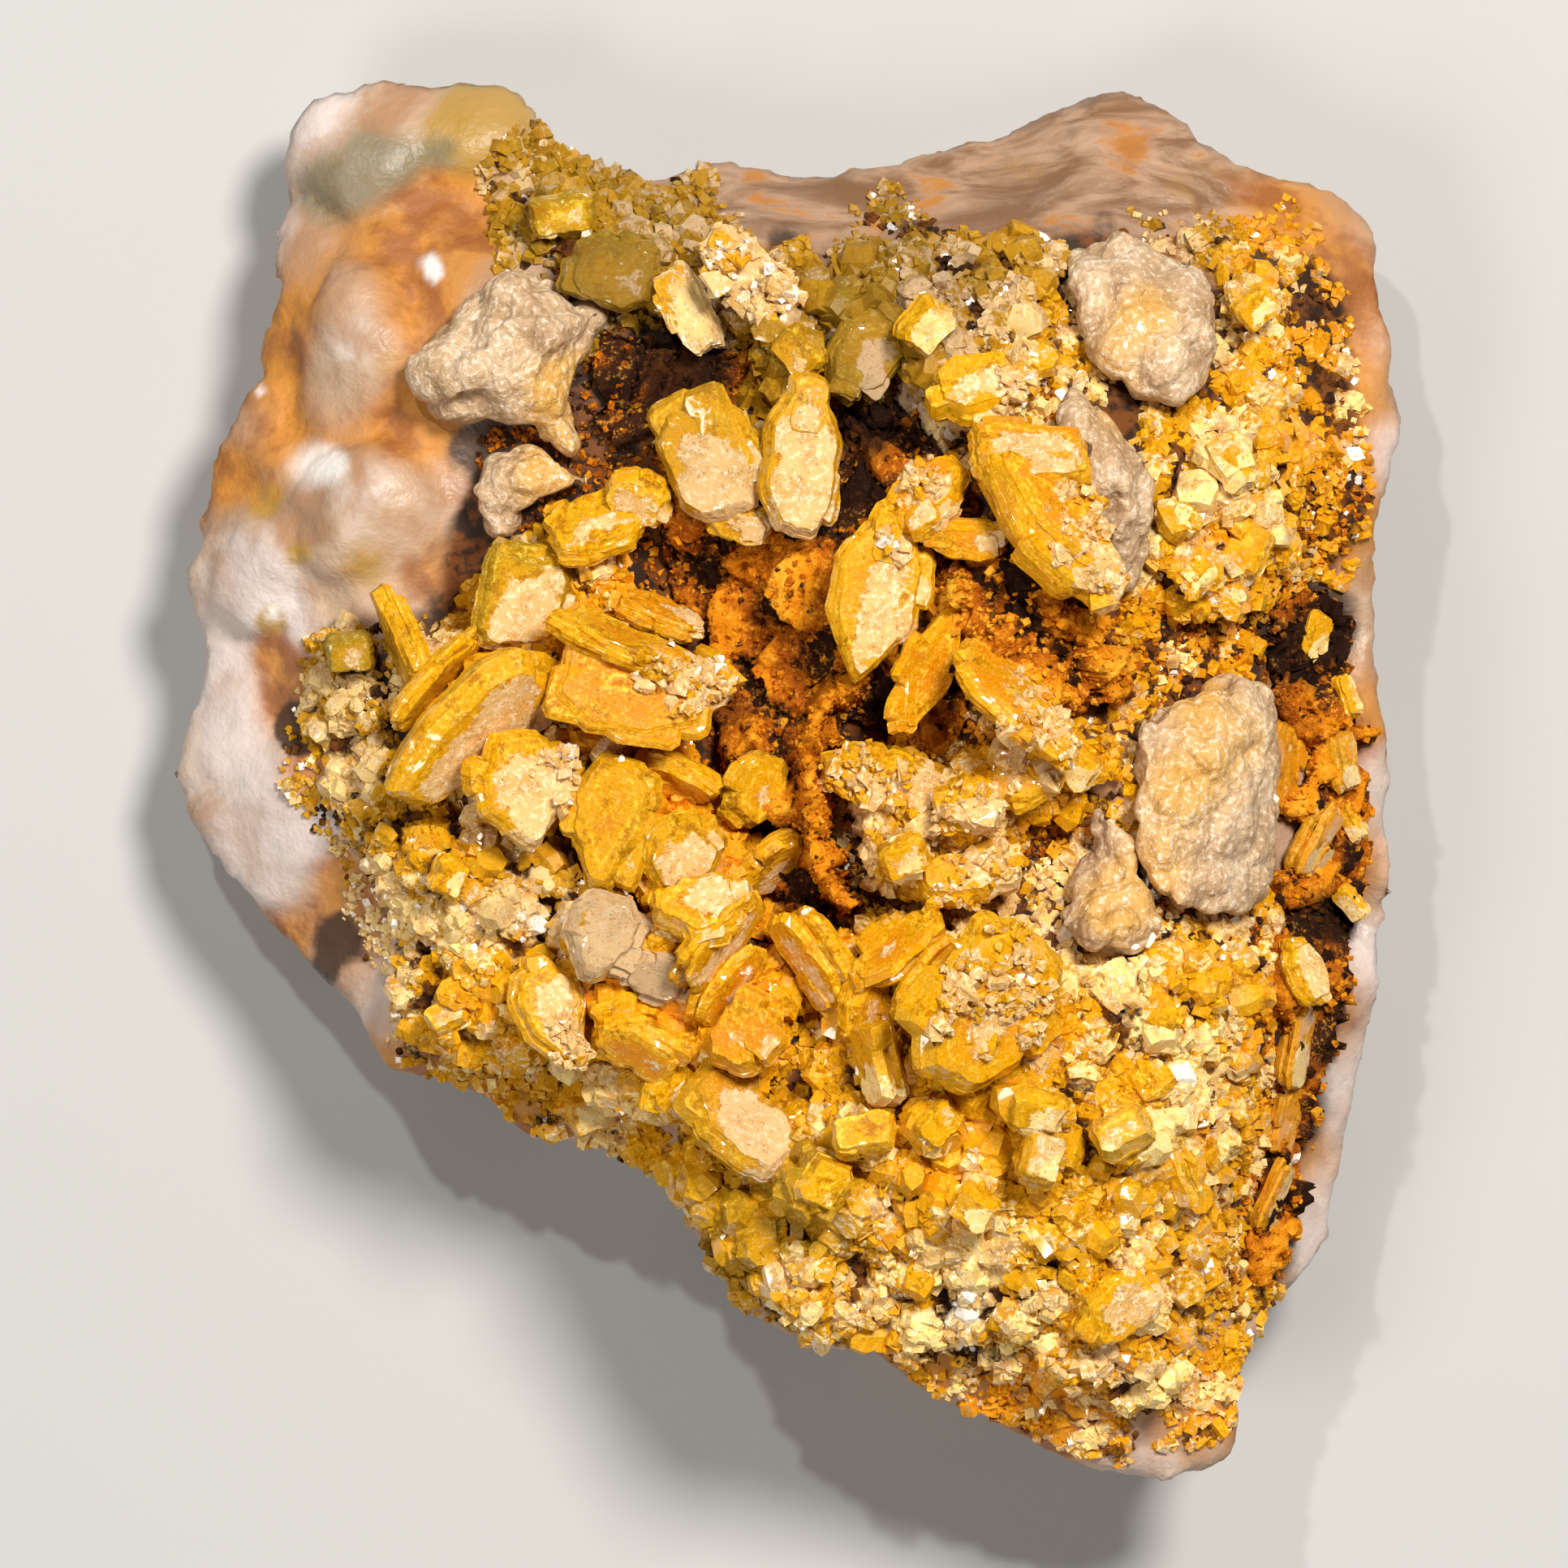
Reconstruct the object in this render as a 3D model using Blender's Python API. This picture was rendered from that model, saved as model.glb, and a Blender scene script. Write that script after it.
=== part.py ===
"""A wulfenite specimen: a loose block of pale vein rock, rust-stained and hollowed on its upper face.

The hollow is lined with crusts of small wulfenite crystals and with crumbly limonite, set with larger
honey-yellow wulfenite tablets and with patches of pale calcite. It rests on a flat break face. All sizes
below are in millimetres, with X to the right, Y up the face and Z out of it, until a mesh is made.
"""

import math
import random

import bmesh
import bpy
from mathutils import Matrix, Vector, noise
from mathutils.bvhtree import BVHTree
from mathutils.geometry import delaunay_2d_cdt

MM = 0.001

# Driving dimensions
BLOCK_WIDTH = 45.8
BLOCK_LENGTH = 52.0
GAP = 0.3
BASE_SCALE = 0.86
SIDE_INSET = 0.025
SIDE_RINGS = 4
SIDE_ROUGHNESS = 1.3
RELIEF_REACH = 2.3
OUTLINE_STEP = 2.4
ROCK_STEP = 2.7
ROOT_DEPTH = 0.7
TABLET_FLAT_WITHIN = 9.0
CRUST_FLAT_WITHIN = 4.0
WELD = 4e-6
STUB_TRIES = 900
STUB_SPACING = 1.9
SEED = 7

# The block's outline seen from above, anticlockwise from its top left corner, between the hand-read
# corners of a block 45.8 wide and 52 long
OUTLINE = [
    (-18.4, 22.9), (-18.9, 19.0), (-18.3, 18.5), (-19.7, 16.9), (-19.5, 15.6), (-20.6, 13.2),
    (-21.7, 10.9), (-22.1, 7.6), (-21.4, 4.4), (-22.0, 2.6), (-22.9, 0.3), (-21.9, -1.9),
    (-20.2, -4.0), (-17.4, -7.0), (-15.6, -9.0), (-14.5, -10.6), (-12.4, -11.0), (-10.4, -11.9),
    (-9.7, -13.1), (-7.0, -13.4), (-5.3, -14.0), (-4.2, -15.0), (-3.3, -17.0), (-1.7, -19.2),
    (0.2, -20.6), (3.5, -21.3), (6.1, -22.9), (8.7, -24.3), (11.0, -25.3), (14.3, -26.0),
    (16.3, -25.3), (16.9, -24.6), (17.1, -22.8), (18.2, -19.0), (19.6, -18.6), (20.4, -17.0),
    (20.8, -13.6), (21.7, -9.6), (22.4, -7.0), (22.9, -4.1), (22.4, -1.2), (22.5, 1.6),
    (21.9, 6.0), (22.2, 9.8), (22.9, 13.4), (22.7, 16.6), (22.1, 19.5), (21.8, 21.1),
    (20.3, 22.4), (17.9, 22.6), (16.0, 23.8), (14.5, 25.2), (12.8, 26.0), (10.9, 25.4),
    (8.5, 24.3), (5.5, 23.6), (1.0, 22.7), (-2.3, 23.4), (-4.6, 22.6), (-7.4, 23.4),
    (-9.3, 24.7), (-10.0, 25.7), (-12.0, 25.7), (-14.8, 26.0), (-17.6, 24.9),
]

# Heights of the rock face at spots across it: the low shoulders of bare rock first, then the raised
# crystal-bearing face, which leans down towards the top left
ROCK_HEIGHTS = [
    (-18.5, 23.0, 3.0), (-14.5, 25.7, 3.0), (-9.8, 25.3, 3.2), (-5.0, 22.5, 4.2), (1.0, 22.6, 4.2),
    (7.0, 23.9, 4.2), (12.7, 25.8, 3.8), (17.8, 22.5, 4.8), (21.9, 20.4, 5.6), (22.7, 14.0, 6.0),
    (22.0, 7.4, 6.4), (22.4, 1.8, 5.4), (22.7, -4.0, 5.8), (21.6, -9.4, 4.6), (20.6, -14.0, 3.8),
    (19.6, -18.4, 4.0), (17.6, -20.8, 7.6), (16.7, -24.8, 8.6), (14.2, -25.8, 8.0), (8.6, -24.0, 9.0),
    (3.4, -21.2, 10.8), (0.0, -20.3, 10.8), (-3.4, -16.9, 9.8), (-5.0, -13.8, 6.0), (-9.4, -12.9, 5.0),
    (-12.2, -10.8, 9.0), (-14.4, -10.2, 7.8), (-17.3, -7.0, 5.0), (-20.2, -3.6, 4.2), (-22.6, 0.3, 3.4),
    (-21.4, 4.0, 3.4), (-21.9, 7.4, 3.8), (-20.6, 12.8, 4.0), (-19.5, 16.8, 4.0),
    (-14.8, 22.6, 6.2), (-10.8, 24.0, 5.2), (-15.8, 16.8, 7.2), (-18.4, 12.0, 6.2), (-15.0, 10.2, 7.8),
    (-19.0, 6.4, 6.6), (-20.0, 1.6, 5.8), (-18.6, -2.6, 7.2), (-16.9, 2.4, 9.6), (-15.4, -3.0, 11.6),
    (-14.4, -7.4, 11.0), (-11.8, -6.0, 12.6), (-10.4, -9.2, 12.6), (-13.2, 4.2, 10.6),
    (-12.2, 9.0, 8.6), (-10.4, 2.0, 12.4), (-8.0, 7.4, 11.2), (-10.2, 14.6, 10.2), (-8.0, 20.6, 9.2),
    (-3.4, 19.0, 11.4), (0.4, 16.2, 12.4), (-0.6, 11.4, 12.2), (-5.0, 3.6, 11.8), (-6.4, -1.2, 12.2),
    (-2.2, -1.2, 11.8), (-8.0, -5.2, 12.8), (-3.4, -4.8, 13.0), (0.4, -5.6, 12.2), (-6.4, -8.8, 13.0),
    (-2.0, -9.6, 13.2), (5.4, 16.4, 12.6), (8.6, 14.0, 14.4), (11.6, 10.4, 15.4), (8.6, 6.2, 15.6),
    (4.6, 6.6, 12.8), (9.6, 1.4, 14.0), (3.4, 0.4, 13.8), (7.8, -0.6, 14.4), (4.0, -3.0, 13.2),
    (7.0, -3.8, 14.0), (3.2, -6.8, 12.8), (7.0, -8.6, 15.0), (11.6, -7.0, 16.0), (15.4, -0.6, 14.0),
    (13.2, 5.2, 12.6), (13.0, 17.0, 12.4), (8.6, 18.6, 11.2), (2.6, 19.4, 10.2), (4.6, 21.0, 7.8),
    (11.6, 21.8, 8.2), (16.0, 22.0, 7.0), (17.6, 18.4, 11.4), (20.8, 15.6, 8.6), (17.8, 12.2, 12.0),
    (16.2, 9.0, 12.4), (20.2, 9.4, 9.6), (20.4, 3.0, 9.4), (21.2, -1.2, 8.4), (18.6, -2.8, 9.4),
    (19.0, -7.2, 10.6), (16.0, -7.0, 15.2), (18.8, -11.6, 8.8), (15.4, -11.6, 15.2), (17.6, -15.6, 8.6),
    (14.4, -16.0, 14.8), (10.0, -11.6, 15.8), (5.4, -12.4, 15.0), (1.0, -13.0, 14.0), (-2.6, -12.6, 13.4),
    (-1.8, -16.2, 12.4), (2.4, -16.4, 14.4), (7.0, -16.2, 14.8), (11.6, -18.8, 14.2), (5.4, -19.2, 13.6),
    (0.8, -18.8, 12.6), (15.6, -20.6, 12.2), (11.6, -22.6, 12.4), (14.4, -23.8, 11.4),
]

# Hollows (x, y, radius, depth) and rounded lumps (x, y, radius, height) on top of that surface
HOLLOWS = [
    (-3.6, 15.2, 2.6, 3.2), (3.0, 13.6, 2.2, 3.2), (-2.4, 7.4, 2.6, 2.6), (-0.4, 3.4, 2.0, 2.4),
    (4.6, 2.6, 1.9, 3.4), (9.8, -2.6, 1.7, 2.4), (-11.8, 6.4, 1.9, 1.8), (19.4, 6.2, 1.6, 2.6),
    (15.2, 4.6, 1.5, 2.0), (20.2, -5.0, 1.5, 2.4), (19.5, 16.2, 1.2, 2.2), (0.6, -1.6, 1.6, 1.6),
    (-0.6, -7.4, 1.5, 1.2), (3.6, -18.2, 1.1, 1.2),
]
LUMPS = [
    (-15.4, 23.4, 3.0, 1.6), (-11.2, 24.2, 1.9, 1.4), (-15.9, 16.6, 3.0, 2.2), (-15.2, 10.2, 2.9, 2.8),
    (-19.2, 8.0, 2.4, 2.0), (-18.4, 12.6, 2.0, 1.2), (-19.6, -0.6, 2.6, 0.9), (8.4, 6.4, 2.4, 0.8),
    (13.0, 24.4, 2.6, 1.2), (19.7, -16.6, 1.8, 0.9), (-8.2, -12.6, 1.6, 1.0),
]

# Crusts and patches that cover part of the face. Each outline is a closed loop of hand-read points.
# kind, thickness at the rim, extra thickness inside, net spacing, outline
PATCHES = {
    "druse_left_shelf": ("druse", 0.5, 0.3, 1.8, [
        (-17.0, 5.6), (-17.2, 2.0), (-16.8, -1.0), (-15.6, -3.2), (-14.2, -5.6), (-14.3, -8.0),
        (-13.4, -9.5), (-10.8, -10.4), (-8.2, -10.9), (-7.2, -9.4), (-8.4, -7.2), (-9.2, -4.6),
        (-8.4, -2.6), (-10.4, -1.6), (-13.2, -0.6), (-14.6, 1.6), (-14.8, 5.2)]),
    "druse_bowl": ("druse", 0.5, 0.3, 1.8, [
        (-12.8, 5.8), (-13.6, 2.8), (-12.2, 0.2), (-9.6, -0.9), (-7.6, -2.2), (-8.4, -4.6),
        (-7.6, -7.2), (-6.4, -9.4), (-6.8, -11.4), (-4.6, -12.6), (-1.8, -12.0), (0.2, -9.8),
        (1.0, -7.0), (-1.0, -4.6), (-1.6, -1.8), (-3.4, 0.8), (-3.4, 3.6), (-5.4, 7.4),
        (-6.0, 10.6), (-8.4, 10.0), (-10.4, 8.2)]),
    "druse_lower": ("druse", 0.6, 0.5, 2.0, [
        (-4.2, -13.4), (-3.2, -16.4), (-1.4, -18.8), (0.6, -20.0), (3.6, -20.6), (6.6, -21.4),
        (9.4, -21.6), (12.6, -22.6), (14.6, -22.0), (15.8, -19.4), (16.2, -16.2), (17.0, -12.8),
        (17.6, -9.4), (17.4, -6.0), (14.6, -5.6), (11.4, -6.9), (9.4, -5.6), (7.8, -5.2),
        (6.6, -5.4), (3.2, -5.0), (2.0, -6.4), (1.7, -9.0), (1.2, -11.0), (-1.2, -13.2)]),
    "druse_right": ("druse", 0.5, 0.5, 1.6, [
        (16.6, 20.2), (18.4, 18.0), (18.6, 14.8), (19.2, 11.6), (18.6, 8.4), (17.0, 6.4),
        (14.2, 6.6), (13.8, 9.0), (14.8, 11.0), (15.6, 13.0), (16.8, 15.4), (16.6, 18.0),
        (14.6, 20.3)]),
    "druse_upper_band": ("druse", 0.5, 0.4, 1.8, [
        (-8.6, 22.0), (-9.4, 20.0), (-7.4, 18.2), (-4.6, 17.6), (-1.6, 16.9), (-0.4, 14.6),
        (1.2, 14.4), (2.2, 16.4), (4.6, 15.6), (6.4, 13.0), (8.8, 13.2), (9.6, 15.2),
        (9.9, 17.4), (10.4, 19.9), (8.0, 20.4), (4.4, 19.8), (1.2, 19.4), (-2.0, 20.6),
        (-5.4, 21.8)]),
    "limonite_north_hollow": ("limonite", 0.4, 0.3, 1.5, [
        (-6.4, 16.9), (-7.2, 14.8), (-6.2, 12.4), (-3.6, 13.4), (-1.6, 13.6), (-2.1, 15.9),
        (-4.6, 16.8)]),
    "limonite_centre_hollow": ("limonite", 0.4, 0.3, 1.6, [
        (-4.8, 10.2), (-4.4, 7.6), (-2.6, 4.6), (-2.5, 1.4), (-0.8, -1.2), (-0.2, -4.4),
        (1.4, -5.4), (2.2, -3.6), (1.6, -0.6), (2.0, 2.0), (4.6, 1.4), (6.6, 1.6),
        (6.6, 4.0), (4.4, 4.6), (4.0, 8.0), (5.8, 10.4), (6.0, 12.2), (4.2, 14.3),
        (2.2, 13.6), (0.4, 12.6), (-2.2, 11.6)]),
    "limonite_sponge": ("limonite", 0.5, 0.5, 1.2, [
        (6.1, 8.0), (5.9, 5.4), (7.4, 3.4), (9.4, 2.4), (11.6, 2.6), (12.3, 4.6),
        (11.0, 7.2), (9.0, 8.5)]),
    "limonite_right_ledge": ("limonite", 0.4, 0.4, 1.8, [
        (17.6, 5.6), (19.6, 7.6), (21.1, 7.2), (21.3, 4.0), (21.4, 0.6), (21.7, -3.2),
        (21.0, -6.4), (20.4, -9.6), (19.4, -12.8), (18.9, -16.6), (17.6, -18.4), (16.8, -17.4),
        (17.6, -14.4), (18.4, -10.4), (18.4, -6.6), (18.3, -4.6), (18.7, -1.6), (19.0, 1.4),
        (17.9, 3.4)]),
    "druse_middle": ("druse", 0.6, 0.5, 1.6, [
        (2.4, 1.2), (2.9, -1.6), (2.9, -3.9), (5.2, -4.6), (7.2, -4.5), (8.6, -3.8),
        (8.8, -1.4), (10.4, -0.9), (12.3, 0.1), (12.7, 2.1), (11.0, 1.7), (8.6, 1.5),
        (7.4, 0.9), (5.0, 0.6)]),
    "calcite_upper_right": ("calcite", 1.3, 0.6, 1.3, [
        (10.5, 19.6), (11.1, 17.6), (11.6, 15.6), (12.9, 14.3), (14.3, 13.9), (15.3, 14.6),
        (15.9, 16.6), (15.9, 18.7), (14.0, 19.6), (12.4, 20.2)]),
    "calcite_inner_right": ("calcite", 1.2, 0.7, 1.2, [
        (9.9, 12.3), (10.4, 14.8), (11.7, 13.8), (12.9, 12.5), (13.6, 10.8), (13.4, 8.6),
        (12.6, 7.0), (11.9, 8.2), (11.4, 9.9), (10.6, 10.8)]),
    "calcite_right": ("calcite", 2.0, 0.5, 1.3, [
        (13.2, 2.0), (14.3, 3.1), (15.5, 3.6), (16.8, 3.9), (18.0, 3.1), (18.4, 1.2),
        (18.0, -1.6), (17.8, -4.1), (16.6, -4.9), (14.4, -4.7), (13.4, -3.4), (13.0, -1.4),
        (13.3, 0.4)]),
    "calcite_right_lower": ("calcite", 1.5, 0.5, 1.2, [
        (11.6, -0.9), (12.6, -1.9), (12.9, -3.7), (13.8, -5.0), (12.8, -6.1), (11.2, -6.0),
        (9.9, -4.9), (11.0, -3.6), (11.2, -2.2)]),
    "calcite_upper_left": ("calcite", 1.2, 1.0, 1.5, [
        (-13.8, 15.4), (-12.0, 17.2), (-10.8, 18.6), (-9.6, 18.9), (-8.0, 18.0), (-6.6, 17.5),
        (-7.6, 15.4), (-8.1, 13.6), (-7.6, 12.0), (-9.4, 13.2), (-11.2, 13.3), (-12.8, 13.4)]),
    "calcite_left": ("calcite", 1.2, 0.7, 1.3, [
        (-11.0, 12.0), (-9.4, 12.5), (-7.9, 11.6), (-7.2, 11.2), (-8.8, 10.7), (-10.6, 9.2),
        (-11.4, 10.2)]),
}

# Larger wulfenite tablets. Those of one group are intergrown and make one solid.
# group, x, y, lift above where its low edge is rooted, length, breadth, thickness, and, in degrees,
# the heading of the long axis, the pitch of its far end and the tilt of the plate about that axis.
# A lifted tablet stands on a stalk of smaller crystals.
TABLETS = [
    ("tablet_great_west", -11.6, 2.1, 0.4, 8.0, 4.4, 1.5, 45, 4, 50),
    ("tablet_west_face", -9.7, -0.1, 1.2, 4.9, 4.1, 1.2, 100, 0, 24),
    ("blade_west_upright", -13.9, 5.1, 0.0, 4.6, 3.0, 1.0, -69, -6, 80),
    ("blade_behind_great_west", -12.9, 3.8, 0.0, 5.0, 3.0, 0.7, 48, 0, 74),
    ("crossed_tablets", -5.6, 3.5, 1.2, 6.2, 4.4, 1.0, -14, 3, -22),
    ("crossed_tablets", -5.6, 4.9, 1.0, 6.4, 3.0, 1.0, -23, 0, -70),
    ("crossed_tablets", -3.0, 3.6, 1.4, 2.6, 2.2, 1.7, 20, 0, 15),
    ("blade_north_of_cross", -4.6, 6.2, 0.0, 3.6, 2.2, 0.7, -22, 0, -66),
    ("tablet_olive_west", -9.7, 6.8, 0.6, 4.6, 4.0, 1.1, 80, 6, 12),
    ("tablet_arch", -6.9, 9.3, 0.7, 4.2, 2.6, 1.2, 22, 0, -32),
    ("tablet_arch", -5.4, 10.6, 1.0, 2.8, 2.2, 1.2, -28, 0, 30),
    ("tablet_bowl_large", -6.3, -1.3, 0.6, 5.2, 3.7, 1.2, 82, 0, -16),
    ("blade_bowl_bridge", -3.8, 0.3, 0.0, 3.4, 2.4, 0.9, -25, 0, 64),
    ("tablet_bowl_round", -1.1, -0.2, 0.0, 3.1, 2.8, 1.1, 60, 0, 34),
    ("tablet_bowl_pale", -3.8, -2.5, 0.7, 3.3, 3.1, 1.3, 30, 0, 18),
    ("blade_bowl_east", -0.5, -2.9, 0.0, 3.4, 2.4, 1.0, 40, 0, 58),
    ("tablet_bowl_south", -3.0, -4.6, 0.9, 3.8, 3.2, 1.6, 14, 0, -26),
    ("twin_blades", -2.5, -5.9, 0.9, 4.8, 3.0, 0.9, 53, 0, 62),
    ("twin_blades", -2.2, -7.4, 0.2, 3.9, 2.8, 1.0, 52, 0, 58),
    ("tablet_silver_face", -6.7, -5.5, 0.7, 3.6, 3.1, 1.3, 75, 0, 12),
    ("tablet_small_silver", -4.7, -7.0, 0.0, 2.7, 2.1, 1.1, -15, 0, 24),
    ("tablet_shelf_edge", -8.6, -8.4, 0.5, 4.2, 3.1, 1.3, 115, 0, 18),
    ("tablet_south_long", -5.2, -9.6, 0.0, 4.2, 2.7, 1.3, -28, 0, 42),
    ("tablet_white_window", -1.4, -9.3, 0.5, 3.3, 2.9, 1.7, 60, 0, -18),
    ("tablet_brown_face", -1.7, -12.5, 0.4, 5.3, 3.7, 1.4, -45, 0, -34),
    ("tablet_south_lip", -4.1, -11.2, 0.0, 2.8, 2.3, 1.2, 62, 0, 26),
    ("fan_blades", 1.3, -6.4, 0.6, 4.9, 2.8, 1.2, -56, 0, 62),
    ("fan_blades", 2.9, -7.7, 0.6, 3.2, 2.2, 1.1, 74, 0, 56),
    ("fan_blades", 4.2, -6.1, 0.9, 3.8, 2.8, 1.0, 40, 0, -48),
    ("fan_blades", 5.3, -7.3, 0.4, 4.3, 2.6, 0.9, 53, 0, 68),
    ("fan_blades", 3.6, -10.2, 0.2, 3.8, 2.2, 1.2, -76, 0, 66),
    ("tablet_great_south", 7.4, -8.1, 1.0, 7.2, 5.6, 1.8, 57, 0, 28),
    ("tablet_knobbly", 6.7, -3.5, 0.2, 3.8, 2.3, 1.5, 10, 0, -24),
    ("tablet_druse_ridge", 3.6, 0.2, 0.2, 5.0, 2.3, 1.5, -12, 0, 18),
    ("tablet_cream_knob", 6.9, -0.8, 0.4, 2.9, 2.3, 1.4, 20, 0, 14),
    ("tablet_middle_knob", 8.9, 0.2, 0.0, 3.1, 2.4, 1.3, 30, 0, -20),
    ("open_pair", 8.5, 2.7, 0.4, 5.6, 3.0, 0.9, -40, 0, -58),
    ("open_pair", 8.2, 3.7, 0.3, 5.0, 2.8, 0.8, -37, 0, -62),
    ("blade_centre_upright", 5.3, 4.2, 0.8, 5.0, 2.6, 0.8, 68, 0, 36),
    ("tablet_great_centre", 3.3, 6.9, 2.0, 6.4, 4.0, 1.0, 78, 0, 14),
    ("tablet_hooked", 5.2, 10.5, 1.3, 3.9, 2.7, 1.3, 42, 0, -30),
    ("tablet_hooked", 6.7, 9.0, 0.6, 3.1, 1.8, 1.3, -6, 0, 20),
    ("tablet_north_pale", 9.0, 12.0, 0.2, 5.2, 3.0, 1.4, -5, 0, -42),
    ("tablet_great_diagonal", 9.9, 9.3, 0.7, 7.2, 3.6, 1.9, -48, 0, -40),
    ("tablet_north_block", 7.3, 14.5, 0.2, 4.2, 3.0, 1.7, 12, 0, -28),
    ("tablet_beige_east", 0.6, 11.9, 1.8, 6.0, 3.3, 1.4, 84, 0, 12),
    ("tablet_beige_west", -2.7, 12.0, 1.2, 5.2, 4.1, 1.4, 110, 0, -16),
    ("tablet_beige_west", -1.6, 9.7, 0.8, 2.8, 1.8, 1.0, -24, 0, 28),
    ("tablet_dull_north", 3.0, 15.9, 0.5, 3.6, 3.1, 1.1, 60, 0, 14),
    ("tablet_olive_north", -6.3, 18.9, 0.5, 3.8, 3.3, 1.1, -20, 0, 14),
    ("crumbly_bars", -3.5, 17.8, 0.8, 4.6, 1.9, 1.5, -62, 0, 16),
    ("crumbly_bars", -1.2, 18.6, 0.6, 4.8, 2.1, 1.5, -44, 0, 10),
    ("tablet_corner_beige", 12.3, -19.2, 0.3, 3.5, 2.8, 1.3, 40, 0, 22),
    ("tablet_corner_low", 10.8, -21.3, 0.0, 2.9, 2.0, 1.1, 12, 0, -18),
    ("tablet_ledge_upright", 19.2, -7.0, 0.2, 2.8, 1.8, 1.0, 112, 0, 40),
]

# Smaller crystals fused to a crust: crust, x, y, length, breadth, thickness, heading, tilt
SMALL_CRYSTALS = [
    ("druse_upper_band", 0.6, 15.9, 2.4, 1.8, 1.0, -50, 30),
    ("druse_upper_band", 5.2, 16.9, 2.6, 2.2, 1.1, 50, 28),
    ("druse_upper_band", -8.2, 21.1, 3.0, 2.0, 1.1, 8, 10),
    ("druse_left_shelf", -16.0, 4.9, 2.2, 1.8, 1.1, 5, 16),
    ("druse_left_shelf", -12.4, -8.6, 1.9, 1.5, 1.0, 30, -25),
    ("druse_left_shelf", -12.4, -3.4, 1.8, 1.5, 1.0, 65, 30),
    ("druse_lower", 9.4, -13.6, 2.4, 1.9, 1.4, 75, 15),
    ("druse_lower", 7.0, -15.5, 2.2, 1.7, 1.3, -35, 25),
    ("druse_lower", 2.9, -12.9, 2.8, 1.9, 1.4, 8, -20),
    ("druse_lower", 5.6, -12.4, 1.9, 1.6, 1.2, 40, 20),
    ("druse_lower", 9.3, -11.9, 2.3, 1.6, 1.2, -15, 30),
    ("druse_lower", 1.4, -14.6, 2.4, 2.1, 1.4, 60, 15),
    ("druse_lower", 12.4, -12.8, 2.6, 2.0, 1.4, 25, -20),
    ("druse_lower", 14.6, -14.4, 2.6, 1.2, 0.9, -70, 55),
    ("druse_right", 17.4, 17.6, 2.0, 1.6, 1.1, 40, 25),
    ("druse_right", 16.6, 11.6, 2.2, 1.5, 1.1, -60, 30),
    ("druse_right", 17.2, 8.6, 2.2, 1.6, 1.1, 70, -30),
    ("druse_middle", 4.4, -2.6, 2.2, 1.7, 1.3, 20, 25),
    ("druse_middle", 10.8, 0.6, 2.0, 1.6, 1.2, -40, 30),
]
STUBS_PER_DRUSE = {
    "druse_left_shelf": 6, "druse_bowl": 0, "druse_lower": 14, "druse_right": 4,
    "druse_upper_band": 3, "druse_middle": 2,
}

# Colour, roughness of each kind of piece
FINISHES = {
    "rock": ((0.72, 0.58, 0.47), 0.75),
    "druse": ((0.80, 0.62, 0.22), 0.50),
    "limonite": ((0.45, 0.19, 0.04), 0.85),
    "calcite": ((0.82, 0.70, 0.58), 0.35),
    "wulfenite": ((0.86, 0.52, 0.04), 0.30),
}


def remove_all_objects():
    for obj in list(bpy.data.objects):
        bpy.data.objects.remove(obj)


def finish(kind):
    """The material of a kind of piece, made once."""
    found = bpy.data.materials.get(kind)
    if found:
        return found
    colour, roughness = FINISHES[kind]
    made = bpy.data.materials.new(kind)
    made.use_nodes = True
    shader = made.node_tree.nodes["Principled BSDF"]
    shader.inputs["Base Color"].default_value = (*colour, 1.0)
    shader.inputs["Roughness"].default_value = roughness
    shader.inputs["Metallic"].default_value = 0.0
    return made


def mesh_object(name, points, faces, kind=None):
    """An object from points in millimetres; without a kind it is a hidden cutter."""
    mesh = bpy.data.meshes.new(name)
    mesh.from_pydata([Vector(p) * MM for p in points], [], faces)
    obj = bpy.data.objects.new(name, mesh)
    bpy.context.scene.collection.objects.link(obj)
    if kind:
        mesh.materials.append(finish(kind))
    else:
        obj.hide_render = True
        obj.display_type = "WIRE"
    return obj


# Plane geometry

def closed_curve(corners, step):
    """A smooth closed loop through the corners, as points about a step apart."""
    loop = []
    count = len(corners)
    for i in range(count):
        p0, p1, p2, p3 = (Vector(corners[(i + k) % count]) for k in (-1, 0, 1, 2))
        pieces = max(1, round((p2 - p1).length / step))
        for k in range(pieces):
            t = k / pieces
            point = 0.5 * (2 * p1 + (p2 - p0) * t + (2 * p0 - 5 * p1 + 4 * p2 - p3) * t**2
                           + (3 * p1 - p0 - 3 * p2 + p3) * t**3)
            loop.append(point)
    return loop


def inside(point, loop):
    found = False
    for a, b in zip(loop, loop[1:] + loop[:1]):
        if (a[1] > point[1]) != (b[1] > point[1]):
            if point[0] < (b[0] - a[0]) * (point[1] - a[1]) / (b[1] - a[1]) + a[0]:
                found = not found
    return found


def clearance(point, loop):
    """Distance from a point to the nearest point of a loop."""
    nearest = 1e9
    for p in loop:
        nearest = min(nearest, math.hypot(p[0] - point[0], p[1] - point[1]))
    return nearest


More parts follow.
